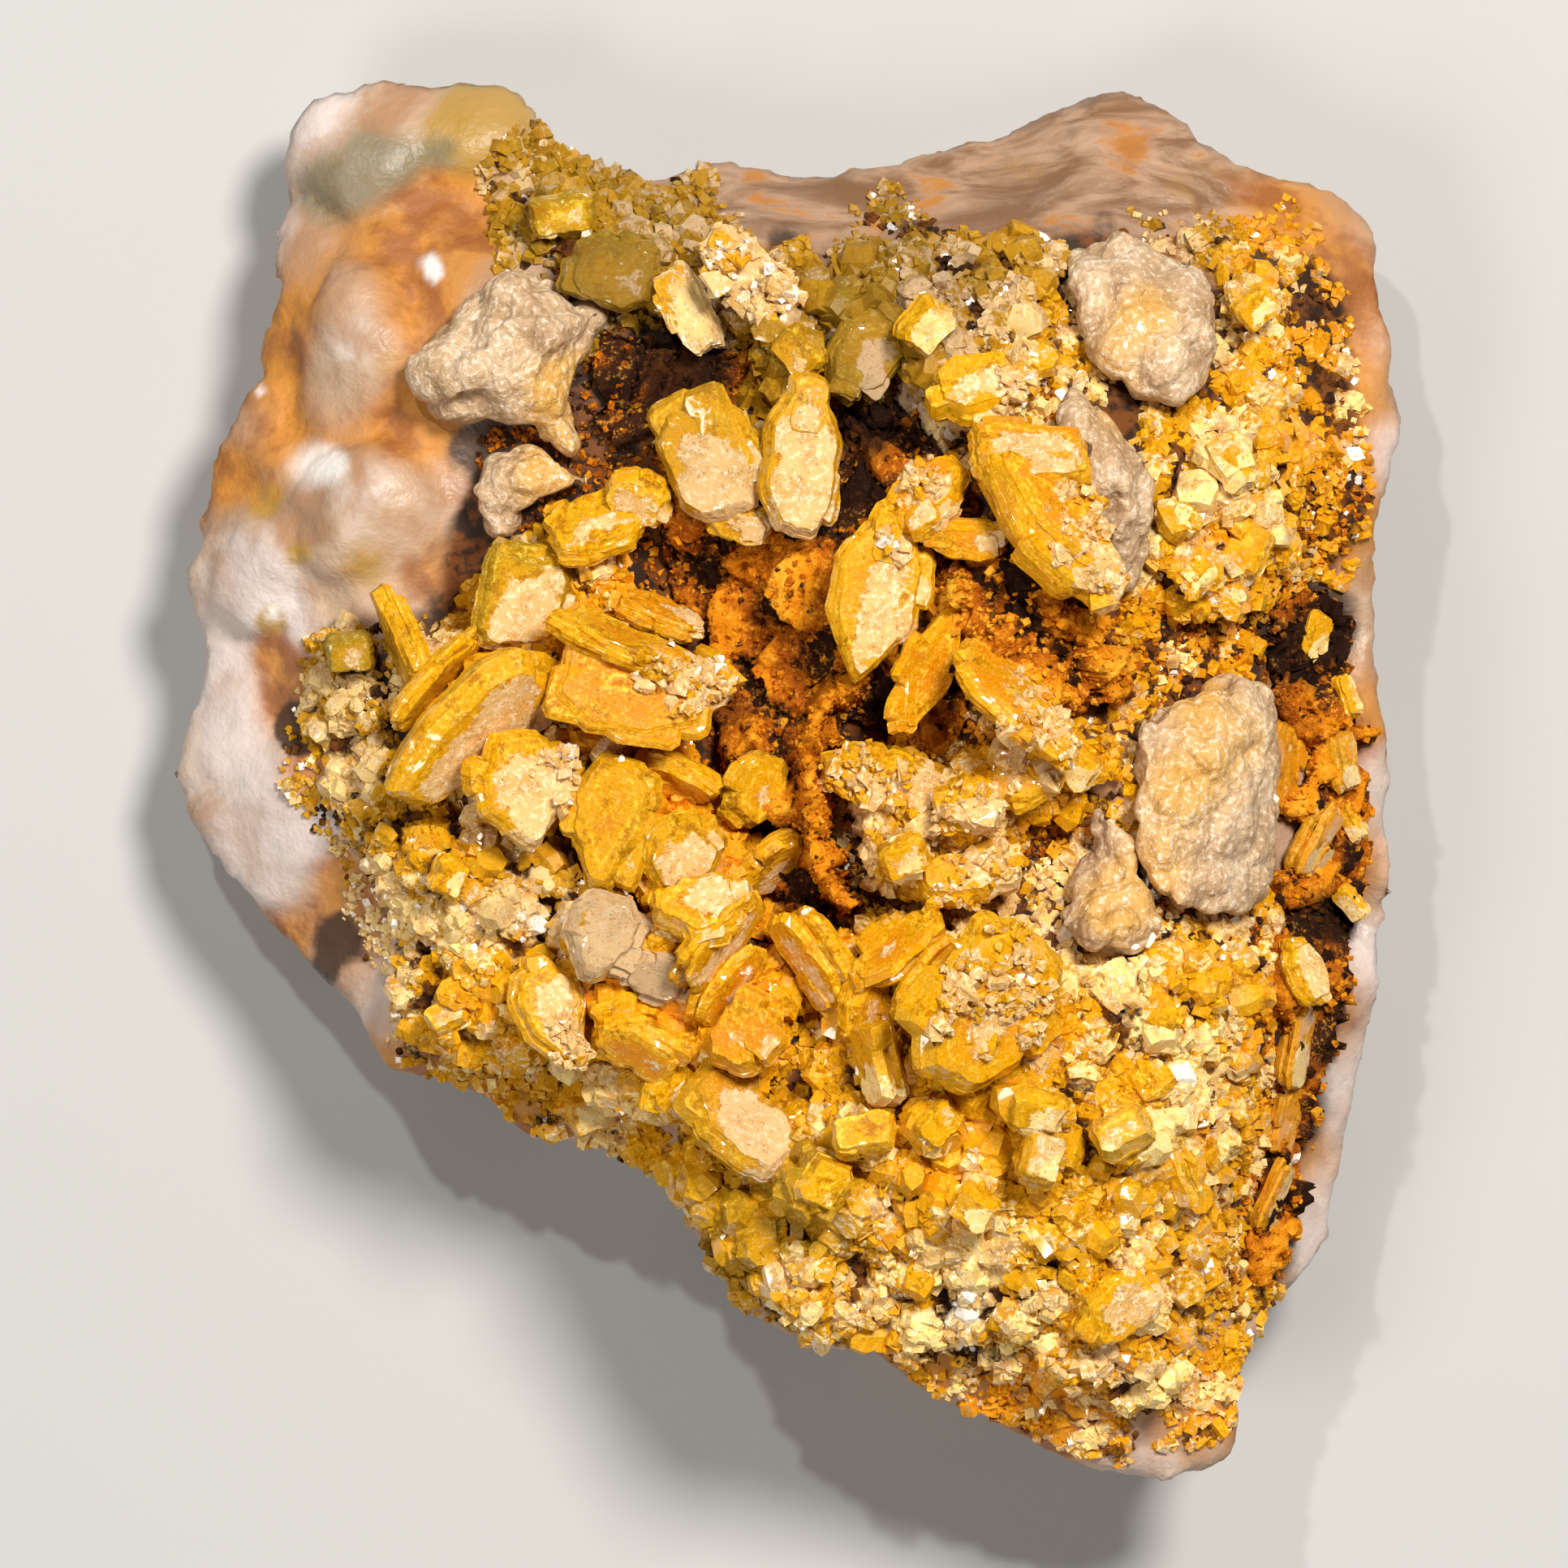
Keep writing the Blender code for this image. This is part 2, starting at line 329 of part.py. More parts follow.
def scattered_points(loop, step, rng, keep_off=()):
    """Points about a step apart inside a loop, clear of it and outside the loops in keep_off."""
    xs, ys = [p[0] for p in loop], [p[1] for p in loop]
    found = []
    row_height = step * math.sqrt(3) / 2
    for row in range(int((max(ys) - min(ys)) / row_height) + 1):
        for column in range(int((max(xs) - min(xs)) / step) + 2):
            x = min(xs) + (column + row % 2 / 2) * step + rng.uniform(-0.22, 0.22) * step
            y = min(ys) + row * row_height + rng.uniform(-0.22, 0.22) * step
            if not inside((x, y), loop) or clearance((x, y), loop) < 0.6 * step:
                continue
            if any(inside((x, y), k) or clearance((x, y), k) < 0.6 * step for k in keep_off):
                continue
            found.append(Vector((x, y)))
    return found


# The rock face

def rock_height(x, y):
    """Height of the bare rock: the spot heights blended smoothly, then hollows, lumps and grain."""
    total = weight = 0.0
    for px, py, pz in ROCK_HEIGHTS:
        w = math.exp(-((x - px) ** 2 + (y - py) ** 2) / (2 * RELIEF_REACH**2)) + 1e-9
        total += w * pz
        weight += w
    z = total / weight
    for px, py, radius, depth in HOLLOWS:
        z -= depth * math.exp(-((x - px) ** 2 + (y - py) ** 2) / radius**2)
    for px, py, radius, height in LUMPS:
        z += height * math.exp(-((x - px) ** 2 + (y - py) ** 2) / radius**2)
    return z + 0.45 * noise.noise(Vector((x * 0.45, y * 0.45, 3.1)))


class Net:
    """One triangulation of the block seen from above, shared by the rock and by all that covers it,
    so that each crust keeps the same gap to the rock everywhere."""

    def __init__(self):
        rng = random.Random(SEED)
        self.rim = closed_curve(OUTLINE, OUTLINE_STEP)
        self.loops = {name: closed_curve(p[4], p[3]) for name, p in PATCHES.items()}
        points, edges = [], []
        for loop in [self.rim, *self.loops.values()]:
            first = len(points)
            points += loop
            edges += [(first + i, first + (i + 1) % len(loop)) for i in range(len(loop))]
        for name, loop in self.loops.items():
            points += scattered_points(loop, PATCHES[name][3], rng)
        points += scattered_points(self.rim, ROCK_STEP, rng, list(self.loops.values()))
        made = delaunay_2d_cdt(points, edges, [], 0, 1e-4)
        self.points = [Vector(p) for p in made[0]]
        self.faces = [tuple(f) for f in made[2] if inside(self.centre(f), self.rim)]
        self.rim_ids = [self.nearest(p) for p in self.rim]
        self.rock = [rock_height(p.x, p.y) for p in self.points]
        self.top = list(self.rock)
        self.patch_faces = {
            name: [f for f in self.faces if inside(self.centre(f), loop)]
            for name, loop in self.loops.items()
        }

    def centre(self, face):
        return sum((self.points[i] for i in face), Vector((0, 0))) / len(face)

    def nearest(self, point):
        return min(range(len(self.points)), key=lambda i: (self.points[i] - point).length_squared)

    def at(self, i, z):
        return Vector((self.points[i].x, self.points[i].y, z))


def rock_block(net):
    """The face, then rings down the broken sides to the smaller flat break face that it rests on."""
    points = [net.at(i, net.rock[i]) for i in range(len(net.points))]
    faces = list(net.faces)
    ring = list(net.rim_ids)
    for level in range(1, SIDE_RINGS + 1):
        down = level / SIDE_RINGS
        new_ring = []
        for i in net.rim_ids:
            edge = points[i]
            inward = 1 - SIDE_INSET - (1 - SIDE_INSET - BASE_SCALE) * down**2
            rough = 0.0 if level == SIDE_RINGS else 1.0
            shift = noise.noise_vector(Vector((edge.x * 0.35, edge.y * 0.35, down * 2.5))) * rough
            z = edge.z * (1 - down) + 0.5 * shift.z * (1 - down)
            new_ring.append(len(points))
            points.append(Vector((edge.x * inward + SIDE_ROUGHNESS * shift.x,
                                  edge.y * inward + SIDE_ROUGHNESS * shift.y, z)))
        for k in range(len(ring)):
            n = (k + 1) % len(ring)
            faces.append((ring[k], new_ring[k], new_ring[n], ring[n]))
        ring = new_ring
    faces.append(tuple(reversed(ring)))
    rock = mesh_object("host_rock", points, faces, "rock")
    keep_largest_body(rock, CRUST_FLAT_WITHIN)


# Crusts and patches

def relief_of(kind, net, i, inner, rng):
    """Extra height of a patch's upper surface at a net point, above its rim thickness."""
    x, y = net.points[i]
    if kind == "druse":
        point_up = rng.uniform(0.45, 1.05) if rng.random() < 0.34 else rng.uniform(0.0, 0.3)
        return inner + point_up
    if kind == "limonite":
        ridges = 1 - 2 * abs(noise.noise(Vector((x * 0.55, y * 0.55, 8.0))))
        return inner + 0.9 * max(0.0, ridges - 0.35) + rng.uniform(-0.15, 0.25)
    lumps = noise.noise(Vector((x * 0.5, y * 0.5, 1.7)))
    return inner + 0.5 * lumps + rng.uniform(-0.1, 0.35)


def boundary_edges(faces):
    """Directed edges used by one face only."""
    used = {}
    for face in faces:
        for a, b in zip(face, face[1:] + face[:1]):
            used[(a, b)] = True
    return [(a, b) for (a, b) in used if (b, a) not in used]


def patch_object(net, name, rng):
    """A crust lying on the rock with its gap: under side, upper side and the rim wall between them."""
    kind, rim_thickness, inner, _, _ = PATCHES[name]
    faces = net.patch_faces[name]
    edges = boundary_edges(faces)
    on_rim = {a for a, _ in edges}
    used = sorted({i for f in faces for i in f})
    place = {i: k for k, i in enumerate(used)}
    under, upper = [], []
    for i in used:
        lift = rim_thickness + (0.0 if i in on_rim else relief_of(kind, net, i, inner, rng))
        under.append(net.at(i, net.rock[i] + GAP))
        upper.append(net.at(i, net.rock[i] + GAP + lift))
        net.top[i] = net.rock[i] + GAP + lift
    count = len(used)
    solid = [tuple(count + place[i] for i in f) for f in faces]
    solid += [tuple(place[i] for i in reversed(f)) for f in faces]
    solid += [(place[a], place[b], count + place[b], count + place[a]) for a, b in edges]
    return mesh_object(name, under + upper, solid, kind)


# Tablets

def ringed_prism(corners, rings):
    """A closed prism: the corners' loop repeated at each ring's height, shrunk by its inset."""
    sides = len(corners)
    points, faces = [], []
    for inset, z in rings:
        for x, y in corners:
            shrink = 1 - inset / math.hypot(x, y)
            points.append(Vector((x * shrink, y * shrink, z)))
    faces.append(tuple(range(sides)))
    faces.append(tuple(reversed(range((len(rings) - 1) * sides, len(rings) * sides))))
    for layer in range(len(rings) - 1):
        for k in range(sides):
            n = (k + 1) % sides
            a, b = layer * sides, (layer + 1) * sides
            faces.append((a + k, b + k, b + n, a + n))
    return points, faces


def uneven_polygon(length, breadth, sides, rng, margin):
    corners = []
    for k in range(sides):
        angle = 2 * math.pi * (k + 0.5 + rng.uniform(-0.16, 0.16)) / sides
        reach = rng.uniform(0.9, 1.03)
        corners.append((math.cos(angle) * (reach * length / 2 + margin),
                        math.sin(angle) * (reach * breadth / 2 + margin)))
    return corners


def tablet_mesh(length, breadth, thickness, rng, margin=0.0):
    """A plate whose two flat faces slope off to a sharp girdle half way between them."""
    half = thickness / 2 + margin
    bevel = min(0.4 * thickness, 0.14 * breadth)
    sides = 8 if length > 4.4 else 6
    corners = uneven_polygon(length, breadth, sides, rng, margin)
    return ringed_prism(corners, [(bevel, half), (0.0, 0.0), (bevel, -half)])


def stub_mesh(length, breadth, height, rng, margin=0.0):
    """A small stout crystal: a block that narrows to a flat top."""
    corners = uneven_polygon(length, breadth, 5, rng, margin)
    return ringed_prism(corners, [(0.2 * breadth, height / 2 + margin), (0.0, -height / 2 - margin)])


def placed(points, centre, heading, pitch, tilt):
    turn = (Matrix.Rotation(math.radians(heading), 3, "Z")
            @ Matrix.Rotation(-math.radians(pitch), 3, "Y")
            @ Matrix.Rotation(math.radians(tilt), 3, "X"))
    return [turn @ p + centre for p in points]


def carve(obj, operation, other, use_self=False):
    """Joins or cuts with another object at once, and leaves clean triangles."""
    step = obj.modifiers.new(operation.lower(), "BOOLEAN")
    step.operation = operation
    step.solver = "EXACT"
    step.use_self = use_self
    step.object = other
    graph = bpy.context.evaluated_depsgraph_get()
    mesh = bpy.data.meshes.new_from_object(obj.evaluated_get(graph))
    obj.modifiers.clear()
    shape = bmesh.new()
    shape.from_mesh(mesh)
    bmesh.ops.remove_doubles(shape, verts=shape.verts, dist=WELD)
    bmesh.ops.dissolve_degenerate(shape, edges=shape.edges, dist=WELD)
    bmesh.ops.triangulate(shape, faces=shape.faces)
    shape.to_mesh(mesh)
    shape.free()
    obj.data = mesh


def keep_largest_body(obj, flat_within):
    """Drops any crumb that a cut left beside the main body, and joins faces whose directions differ
    by less than flat_within degrees."""
    shape = bmesh.new()
    shape.from_mesh(obj.data)
    left = set(shape.faces)
    bodies = []
    while left:
        body, front = [], [left.pop()]
        while front:
            face = front.pop()
            body.append(face)
            for edge in face.edges:
                for other in edge.link_faces:
                    if other in left:
                        left.remove(other)
                        front.append(other)
        bodies.append(body)
    bodies.sort(key=enclosed_volume)
    crumbs = [face for body in bodies[:-1] for face in body]
    bmesh.ops.delete(shape, geom=crumbs, context="FACES")
    bmesh.ops.dissolve_limit(shape, angle_limit=math.radians(flat_within), verts=shape.verts,
                             edges=shape.edges)
    shape.to_mesh(obj.data)
    shape.free()


def enclosed_volume(faces):
    total = 0.0
    for face in faces:
        first, *others = (v.co for v in face.verts)
        for a, b in zip(others, others[1:]):
            total += first.dot(a.cross(b)) / 6
    return total


def block_up_to(net, name, heights):
    """A hidden closed block under the whole net, with its top at the given heights."""
    deep = -6.0
    count = len(net.points)
    points = [net.at(i, heights[i]) for i in range(count)]
    points += [net.at(i, deep) for i in range(count)]
    faces = list(net.faces)
    faces += [tuple(count + i for i in reversed(f)) for f in net.faces]
    faces += [(count + a, count + b, b, a) for a, b in boundary_edges(net.faces)]
    used = sorted({i for f in faces for i in f})
    place = {i: k for k, i in enumerate(used)}
    faces = [tuple(place[i] for i in f) for f in faces]
    return mesh_object(name, [points[i] for i in used], faces)


def face_tree(net):
    return BVHTree.FromPolygons([net.at(i, net.top[i]) for i in range(len(net.points))], net.faces)


def ground_at(tree, x, y):
    hit = tree.ray_cast(Vector((x, y, 60.0)), Vector((0, 0, -1)))[0]
    return hit.z


def ground_under(tree, x, y, length, breadth, heading):
    """Height of the ground that a tablet stands on: between the mean and the highest under it."""
    turn = Matrix.Rotation(math.radians(heading), 2)
    spots = [Vector((x, y))]
    for k in range(8):
        angle = math.pi * k / 4
        spots.append(spots[0] + turn @ Vector((0.35 * length * math.cos(angle),
                                               0.35 * breadth * math.sin(angle))))
    heights = [ground_at(tree, spot.x, spot.y) for spot in spots]
    mean = sum(heights) / len(heights)
    return (mean + max(heights)) / 2


def fused_crystals(net, tree, name, obj, rock, rng):
    """Small blocky crystals standing out of a crust, joined to it and kept off the rock under it.
    Returns a slightly larger hidden copy of each, to keep the tablets clear of it."""
    wanted = [c[1:] for c in SMALL_CRYSTALS if c[0] == name]
    enough = len(wanted) + STUBS_PER_DRUSE[name]
    faces = net.patch_faces[name]
    loop = net.loops[name]
    for _ in range(STUB_TRIES):
        if len(wanted) == enough:
            break
        spot = net.centre(rng.choice(faces))
        crowded = any(math.hypot(spot.x - w[0], spot.y - w[1]) < STUB_SPACING for w in wanted)
        if crowded or clearance(spot, loop) < STUB_SPACING / 2:
            continue
        size = rng.uniform(1.2, 1.9)
        wanted.append((spot.x, spot.y, size, size * rng.uniform(0.7, 0.95), size * rng.uniform(0.45, 0.7),
                       rng.uniform(0, 180), rng.uniform(-50, 50)))
    points, solid, envelopes = [], [], []
    for k, (x, y, length, breadth, thickness, heading, tilt) in enumerate(wanted):
        centre = Vector((x, y, ground_at(tree, x, y) + 0.25 * thickness))
        block, block_faces = stub_mesh(length, breadth, thickness, random.Random(k))
        larger, _ = stub_mesh(length, breadth, thickness, random.Random(k), GAP)
        larger = placed(larger, centre, heading, 0, tilt)
        envelopes.append(mesh_object(f"{name}_envelope_{k}", larger, block_faces))
        first = len(points)
        points += placed(block, centre, heading, 0, tilt)
        solid += [tuple(first + i for i in f) for f in block_faces]
    helper = mesh_object(name + "_crystals", points, solid)
    carve(helper, "DIFFERENCE", rock, use_self=True)
    carve(obj, "UNION", helper, use_self=True)
    keep_largest_body(obj, CRUST_FLAT_WITHIN)
    bpy.data.objects.remove(helper)
    return envelopes


def tablets(tree, ground, earlier):
    """Each group of tablets: joined, cut off just above the ground and kept clear of the others and
    of the hidden envelopes given."""
    groups = {}
    for k, row in enumerate(TABLETS):
        groups.setdefault(row[0], []).append((k, row[1:]))
    for name, members in groups.items():
        parts, envelopes = [], []
        for k, (x, y, lift, length, breadth, thickness, heading, pitch, tilt) in members:
            lean = math.radians(abs(tilt))
            drop = (breadth * math.sin(lean) + thickness * math.cos(lean)) / 2
            across = breadth * math.cos(lean)
            ground_z = ground_under(tree, x, y, length, across, heading)
            centre = Vector((x, y, ground_z + drop - ROOT_DEPTH + lift))
            for margin, into in ((0.0, parts), (GAP, envelopes)):
                points, faces = tablet_mesh(length, breadth, thickness, random.Random(SEED + k), margin)
                points = placed(points, centre, heading, pitch, tilt)
                kind = "wulfenite" if margin == 0.0 and not parts else None
                label = name if kind else f"{name}_{k}_{margin > 0}"
                into.append(mesh_object(label, points, faces, kind))
                if lift > 0.5:
                    height = centre.z - ground_z + ROOT_DEPTH
                    wide = 0.5 * breadth
                    points, faces = stub_mesh(wide, wide, height, random.Random(SEED - k), margin)
                    middle = Vector((x, y, centre.z - height / 2))
                    points = [p + middle for p in points]
                    into.append(mesh_object(f"{name}_{k}_stalk_{margin > 0}", points, faces))
        crystal = parts[0]
        for mate in parts[1:]:
            carve(crystal, "UNION", mate)
        carve(crystal, "DIFFERENCE", ground)
        for other in earlier:
            if boxes_meet(crystal, other):
                carve(crystal, "DIFFERENCE", other)
        keep_largest_body(crystal, TABLET_FLAT_WITHIN)
        for mate in parts[1:]:
            bpy.data.objects.remove(mate)
        earlier += envelopes
    for envelope in earlier:
        bpy.data.objects.remove(envelope)


def boxes_meet(first, second):
    """Whether the bounding boxes of two objects overlap."""
    a = [Vector(c) for c in first.bound_box]
    b = [Vector(c) for c in second.bound_box]
    return all(min(p[k] for p in a) < max(q[k] for q in b) and min(q[k] for q in b) < max(p[k] for p in a)
               for k in range(3))


def centre_on_origin():
    """Moves the whole specimen so that the middle of its bounding box stands over the origin."""
    shown = [o for o in bpy.context.scene.objects if not o.hide_render]
    corners = [v.co for o in shown for v in o.data.vertices]
    middle = Vector(((min(c.x for c in corners) + max(c.x for c in corners)) / 2,
                     (min(c.y for c in corners) + max(c.y for c in corners)) / 2, 0.0))
    for obj in shown:
        obj.data.transform(Matrix.Translation(-middle))


def main():
    remove_all_objects()
    net = Net()
    rng = random.Random(SEED + 1)
    rock_block(net)
    crusts = {name: patch_object(net, name, rng) for name in PATCHES}
    bare_tree = face_tree(net)
    rock = block_up_to(net, "rock_cutter", [z + 1.5 * GAP for z in net.rock])
    envelopes = []
    for name in STUBS_PER_DRUSE:
        envelopes += fused_crystals(net, bare_tree, name, crusts[name], rock, rng)
    ground = block_up_to(net, "ground_cutter", [z + GAP for z in net.top])
    tablets(bare_tree, ground, envelopes)
    bpy.data.objects.remove(rock)
    bpy.data.objects.remove(ground)
    centre_on_origin()


main()
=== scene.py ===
# %% [markdown]
# # A wulfenite specimen, dressed
# The object is a hand-sized block of pale vein rock. Its upper face is a hollow lined with crusts of
# small wulfenite crystals and crumbly limonite, set with larger honey-yellow tablets and with patches
# of translucent calcite. A packed frame of plain solids gives every piece its place and size. Each
# solid could be shown as it is, but its facets are coarse, so a finely detailed piece is grown over
# each one here and stands in for it.

import itertools
import math

import bpy
import numpy as np
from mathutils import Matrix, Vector
from mathutils.bvhtree import BVHTree


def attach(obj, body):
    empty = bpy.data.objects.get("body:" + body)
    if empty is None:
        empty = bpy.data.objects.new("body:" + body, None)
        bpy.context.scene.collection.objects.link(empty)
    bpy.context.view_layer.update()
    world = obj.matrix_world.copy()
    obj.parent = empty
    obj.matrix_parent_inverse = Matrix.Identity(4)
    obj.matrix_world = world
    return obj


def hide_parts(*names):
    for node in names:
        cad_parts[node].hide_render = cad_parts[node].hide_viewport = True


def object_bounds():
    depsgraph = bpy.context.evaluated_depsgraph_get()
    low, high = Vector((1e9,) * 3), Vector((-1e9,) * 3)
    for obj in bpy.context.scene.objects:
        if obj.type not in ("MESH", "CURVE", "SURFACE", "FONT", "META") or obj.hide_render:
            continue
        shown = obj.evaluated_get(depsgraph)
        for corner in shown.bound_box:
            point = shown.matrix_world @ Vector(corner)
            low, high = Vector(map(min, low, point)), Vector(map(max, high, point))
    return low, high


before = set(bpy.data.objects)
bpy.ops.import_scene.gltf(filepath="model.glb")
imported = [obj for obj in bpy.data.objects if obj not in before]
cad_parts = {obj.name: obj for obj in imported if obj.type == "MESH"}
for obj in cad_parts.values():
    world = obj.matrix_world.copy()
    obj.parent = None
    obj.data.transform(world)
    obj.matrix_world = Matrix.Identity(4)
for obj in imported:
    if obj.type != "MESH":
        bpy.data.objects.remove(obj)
frame_box = [list(corner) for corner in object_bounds()]
MM = 0.001
bpy.context.scene.view_settings.view_transform = "Standard"
print(len(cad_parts), "solids, box", np.round(np.array(frame_box) / MM, 1).tolist(), "mm")


# %% [markdown]
# ## Solids as arrays
# A mesh with a hundred thousand points is slow to change point by point in Python. numpy changes all
# points of an array at once, so each solid is read into two arrays: its points, in millimetres, and
# its triangles.

# %% Read a mesh into arrays
def arrays_of(mesh, unit=1.0):
    """The points and triangles of a mesh, with its points measured in unit."""
    mesh.calc_loop_triangles()
    points = np.empty(len(mesh.vertices) * 3)
    mesh.vertices.foreach_get("co", points)
    faces = np.empty(len(mesh.loop_triangles) * 3, dtype=np.int64)
    mesh.loop_triangles.foreach_get("vertices", faces)
    return points.reshape(-1, 3) / unit, faces.reshape(-1, 3)


def joined(meshes):
    """Several (points, triangles) as one."""
    starts = np.cumsum([0] + [len(points) for points, _ in meshes[:-1]])
    return (np.concatenate([points for points, _ in meshes]),
            np.concatenate([faces + start for (_, faces), start in zip(meshes, starts)]))


solids = {name: arrays_of(node.data, MM) for name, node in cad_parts.items()}
kinds = {kind: [n for n in solids if n.startswith(kind)] for kind in ("druse", "limonite", "calcite")}
print({kind: len(names) for kind, names in kinds.items()})


# %% [markdown]
# ## Noise, spots and ground
# Rock, crust and crystal all need irregularity of a chosen size. Value noise puts a random number at
# each corner of a cubic lattice and blends between them. Cell noise gives the distance to the nearest
# of many scattered points, and makes rounded lumps like those of sugar. Stains and colours that sit at
# certain places are set by short lists of spots, blended together.

# %% Noise
TABLE_SIZE = 4096
lattice_values = np.random.default_rng(5).uniform(-1, 1, (TABLE_SIZE, 4))


def lattice(cell, seed):
    """Four random numbers that belong to each lattice cell."""
    mixed = cell[:, 0] * 73856093 ^ cell[:, 1] * 19349663 ^ cell[:, 2] * 83492791 ^ seed * 6271
    return lattice_values[mixed % TABLE_SIZE]


def noise_at(points, size, seed=0):
    """Smooth noise from -1 to 1, with features about size across."""
    cell = np.floor(points / size).astype(np.int64)
    along = points / size - cell
    ease = along**3 * (along * (along * 6 - 15) + 10)
    total = np.zeros(len(points))
    for corner in itertools.product((0, 1), repeat=3):
        weight = np.prod(np.where(corner, ease, 1 - ease), axis=1)
        total += weight * lattice(cell + corner, seed)[:, 0]
    return total


def layered_noise(points, size, layers, seed=0):
    """Noise with finer and weaker noise laid over it."""
    return sum(noise_at(points, size / 2**k, seed + k) / 2**k for k in range(layers))


def cells_at(points, size, seed=0):
    """Distance to the nearest scattered point, in cell sizes, a random number of its cell, and the
    height of a plane that tilts its own way in each cell, for facets."""
    scaled = points / size
    home = np.floor(scaled).astype(np.int64)
    nearest = np.full(len(points), 9.0)
    label, facet = np.zeros((2, len(points)))
    for step in itertools.product((-1, 0, 1), repeat=3):
        cell = home + step
        random = lattice(cell, seed)
        offset = scaled - cell - 0.5 - 0.42 * random[:, :3]
        distance = np.linalg.norm(offset, axis=1)
        closer = distance < nearest
        nearest[closer] = distance[closer]
        label[closer] = random[closer, 3]
        facet[closer] = (offset * lattice(cell, seed + 50)[:, :3]).sum(axis=1)[closer]
    return nearest, label, facet


def spots_at(points, spots):
    """How strongly a list of spots (x, y, radius, strength) marks each point."""
    total = np.zeros(len(points))
    for x, y, radius, strength in spots:
        away = (points[:, 0] - x) ** 2 + (points[:, 1] - y) ** 2
        total += strength * np.exp(-away / radius**2)
    return np.clip(total, 0, 1)


print("noise range", np.round(np.ptp(noise_at(9 * lattice_values[:, :3], 1.0)), 2))


# %% [markdown]
# ## Skins
# A voxel remesh wraps a solid in an even net of small faces, which takes fine relief well. The net
# first needs the solid's hard facets smoothed away, by moving each point towards the middle of its
# neighbours a few times. Relief is then added along the normals.

# %% Wrap, relax and normals
def placed(name, data):
    """A new object of the scene that holds a mesh, a light or a camera."""
    made = bpy.data.objects.new(name, data)
    bpy.context.scene.collection.objects.link(made)
    return made


def wrapped(points, faces, voxel):
    """An even net of faces about voxel wide around a mesh."""
    mesh = bpy.data.meshes.new("wrap")
    mesh.from_pydata(points.tolist(), [], faces.tolist())
    obj = placed("wrap", mesh)
    remesh = obj.modifiers.new("net", "REMESH")
    remesh.mode = "VOXEL"
    remesh.voxel_size = voxel
    evaluated = obj.evaluated_get(bpy.context.evaluated_depsgraph_get())
    made = arrays_of(evaluated.to_mesh())
    evaluated.to_mesh_clear()
    bpy.data.objects.remove(obj)
    bpy.data.meshes.remove(mesh)
    return made


def relaxed(points, faces, rounds):
    """The points after each has moved half way to the middle of its neighbours, some rounds over."""
    start, end = faces.ravel(), faces[:, [1, 2, 0]].ravel()
    count = np.maximum(np.bincount(start, minlength=len(points)), 1)[:, None]
    for _ in range(rounds):
        total = [np.bincount(start, points[end, axis], len(points)) for axis in range(3)]
        points = points + 0.5 * (np.stack(total, axis=1) / count - points)
    return points


def normals_of(points, faces):
    """The outward direction at each point, weighted by the faces around it."""
    a, b, c = (points[faces[:, k]] for k in range(3))
    across = np.cross(b - a, c - a)
    total = np.stack([np.bincount(faces.ravel(), np.repeat(across[:, axis], 3), len(points))
                      for axis in range(3)], axis=1)
    return total / np.maximum(np.linalg.norm(total, axis=1, keepdims=True), 1e-12)


def skin_of(node, voxel, rounds):
    """A solid's net with its hard facets smoothed away."""
    points, faces = wrapped(*solids[node], voxel)
    return relaxed(points, faces, rounds), faces


# %% [markdown]
# ## Pieces
# Each finished piece is one mesh with one finish. It rides on the specimen's body, stands in for its
# solid, and carries marks: numbers at its points that tell the finish how rusty, creamy or warm the
# surface is there.

# %% Make a piece
STANDS_PROUD = 0.3
CREST = frame_box[1][2] / MM + STANDS_PROUD  # no point stands higher
CRISP_EDGE = 24
made_pieces = {}


def make_piece(name, node, slot, parts, smooth, sharp=None):
    """parts is a list of (points, triangles, marks). Their meshes are joined into one piece, whose
    smooth faces meet in a crisp edge where they turn by more than sharp degrees."""
    points, faces = joined([part[:2] for part in parts])
    points[:, 2] = np.clip(points[:, 2], 0, CREST)
    mesh = bpy.data.meshes.new(name)
    mesh.vertices.add(len(points))
    mesh.vertices.foreach_set("co", (points * MM).ravel())
    mesh.loops.add(faces.size)
    mesh.loops.foreach_set("vertex_index", faces.ravel())
    mesh.polygons.add(len(faces))
    mesh.polygons.foreach_set("loop_start", np.arange(0, faces.size, 3))
    mesh.polygons.foreach_set("use_smooth", np.repeat(smooth, [len(part[1]) for part in parts]))
    for mark in parts[0][2]:
        values = np.concatenate([np.broadcast_to(part[2][mark], len(part[0])) for part in parts])
        mesh.attributes.new(mark, "FLOAT", "POINT").data.foreach_set("value", values.astype(np.float32))
    mesh.update()
    if sharp:
        mesh.set_sharp_from_angle(angle=math.radians(sharp))
    mesh.materials.append(finishes[slot])
    piece = placed(name, mesh)
    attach(piece, "root")
    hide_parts(node)
    made_pieces[name] = len(faces)


# %% [markdown]
# ## Writing finishes as sums
# A finish is a web of shader nodes. Wired by hand each sum takes many lines, so a small class lets an
# output socket be added, taken away and multiplied like a number, and each sign adds the node it
# needs. Every other node comes from one method that takes its type, its settings and its inputs.

# %% Wires
def sign(operation):
    """The methods of one sign, for a wire that stands left of it and for one that stands right."""
    return (lambda wire, other: wire.sum(operation, wire, other),
            lambda wire, other: wire.sum(operation, other, wire))


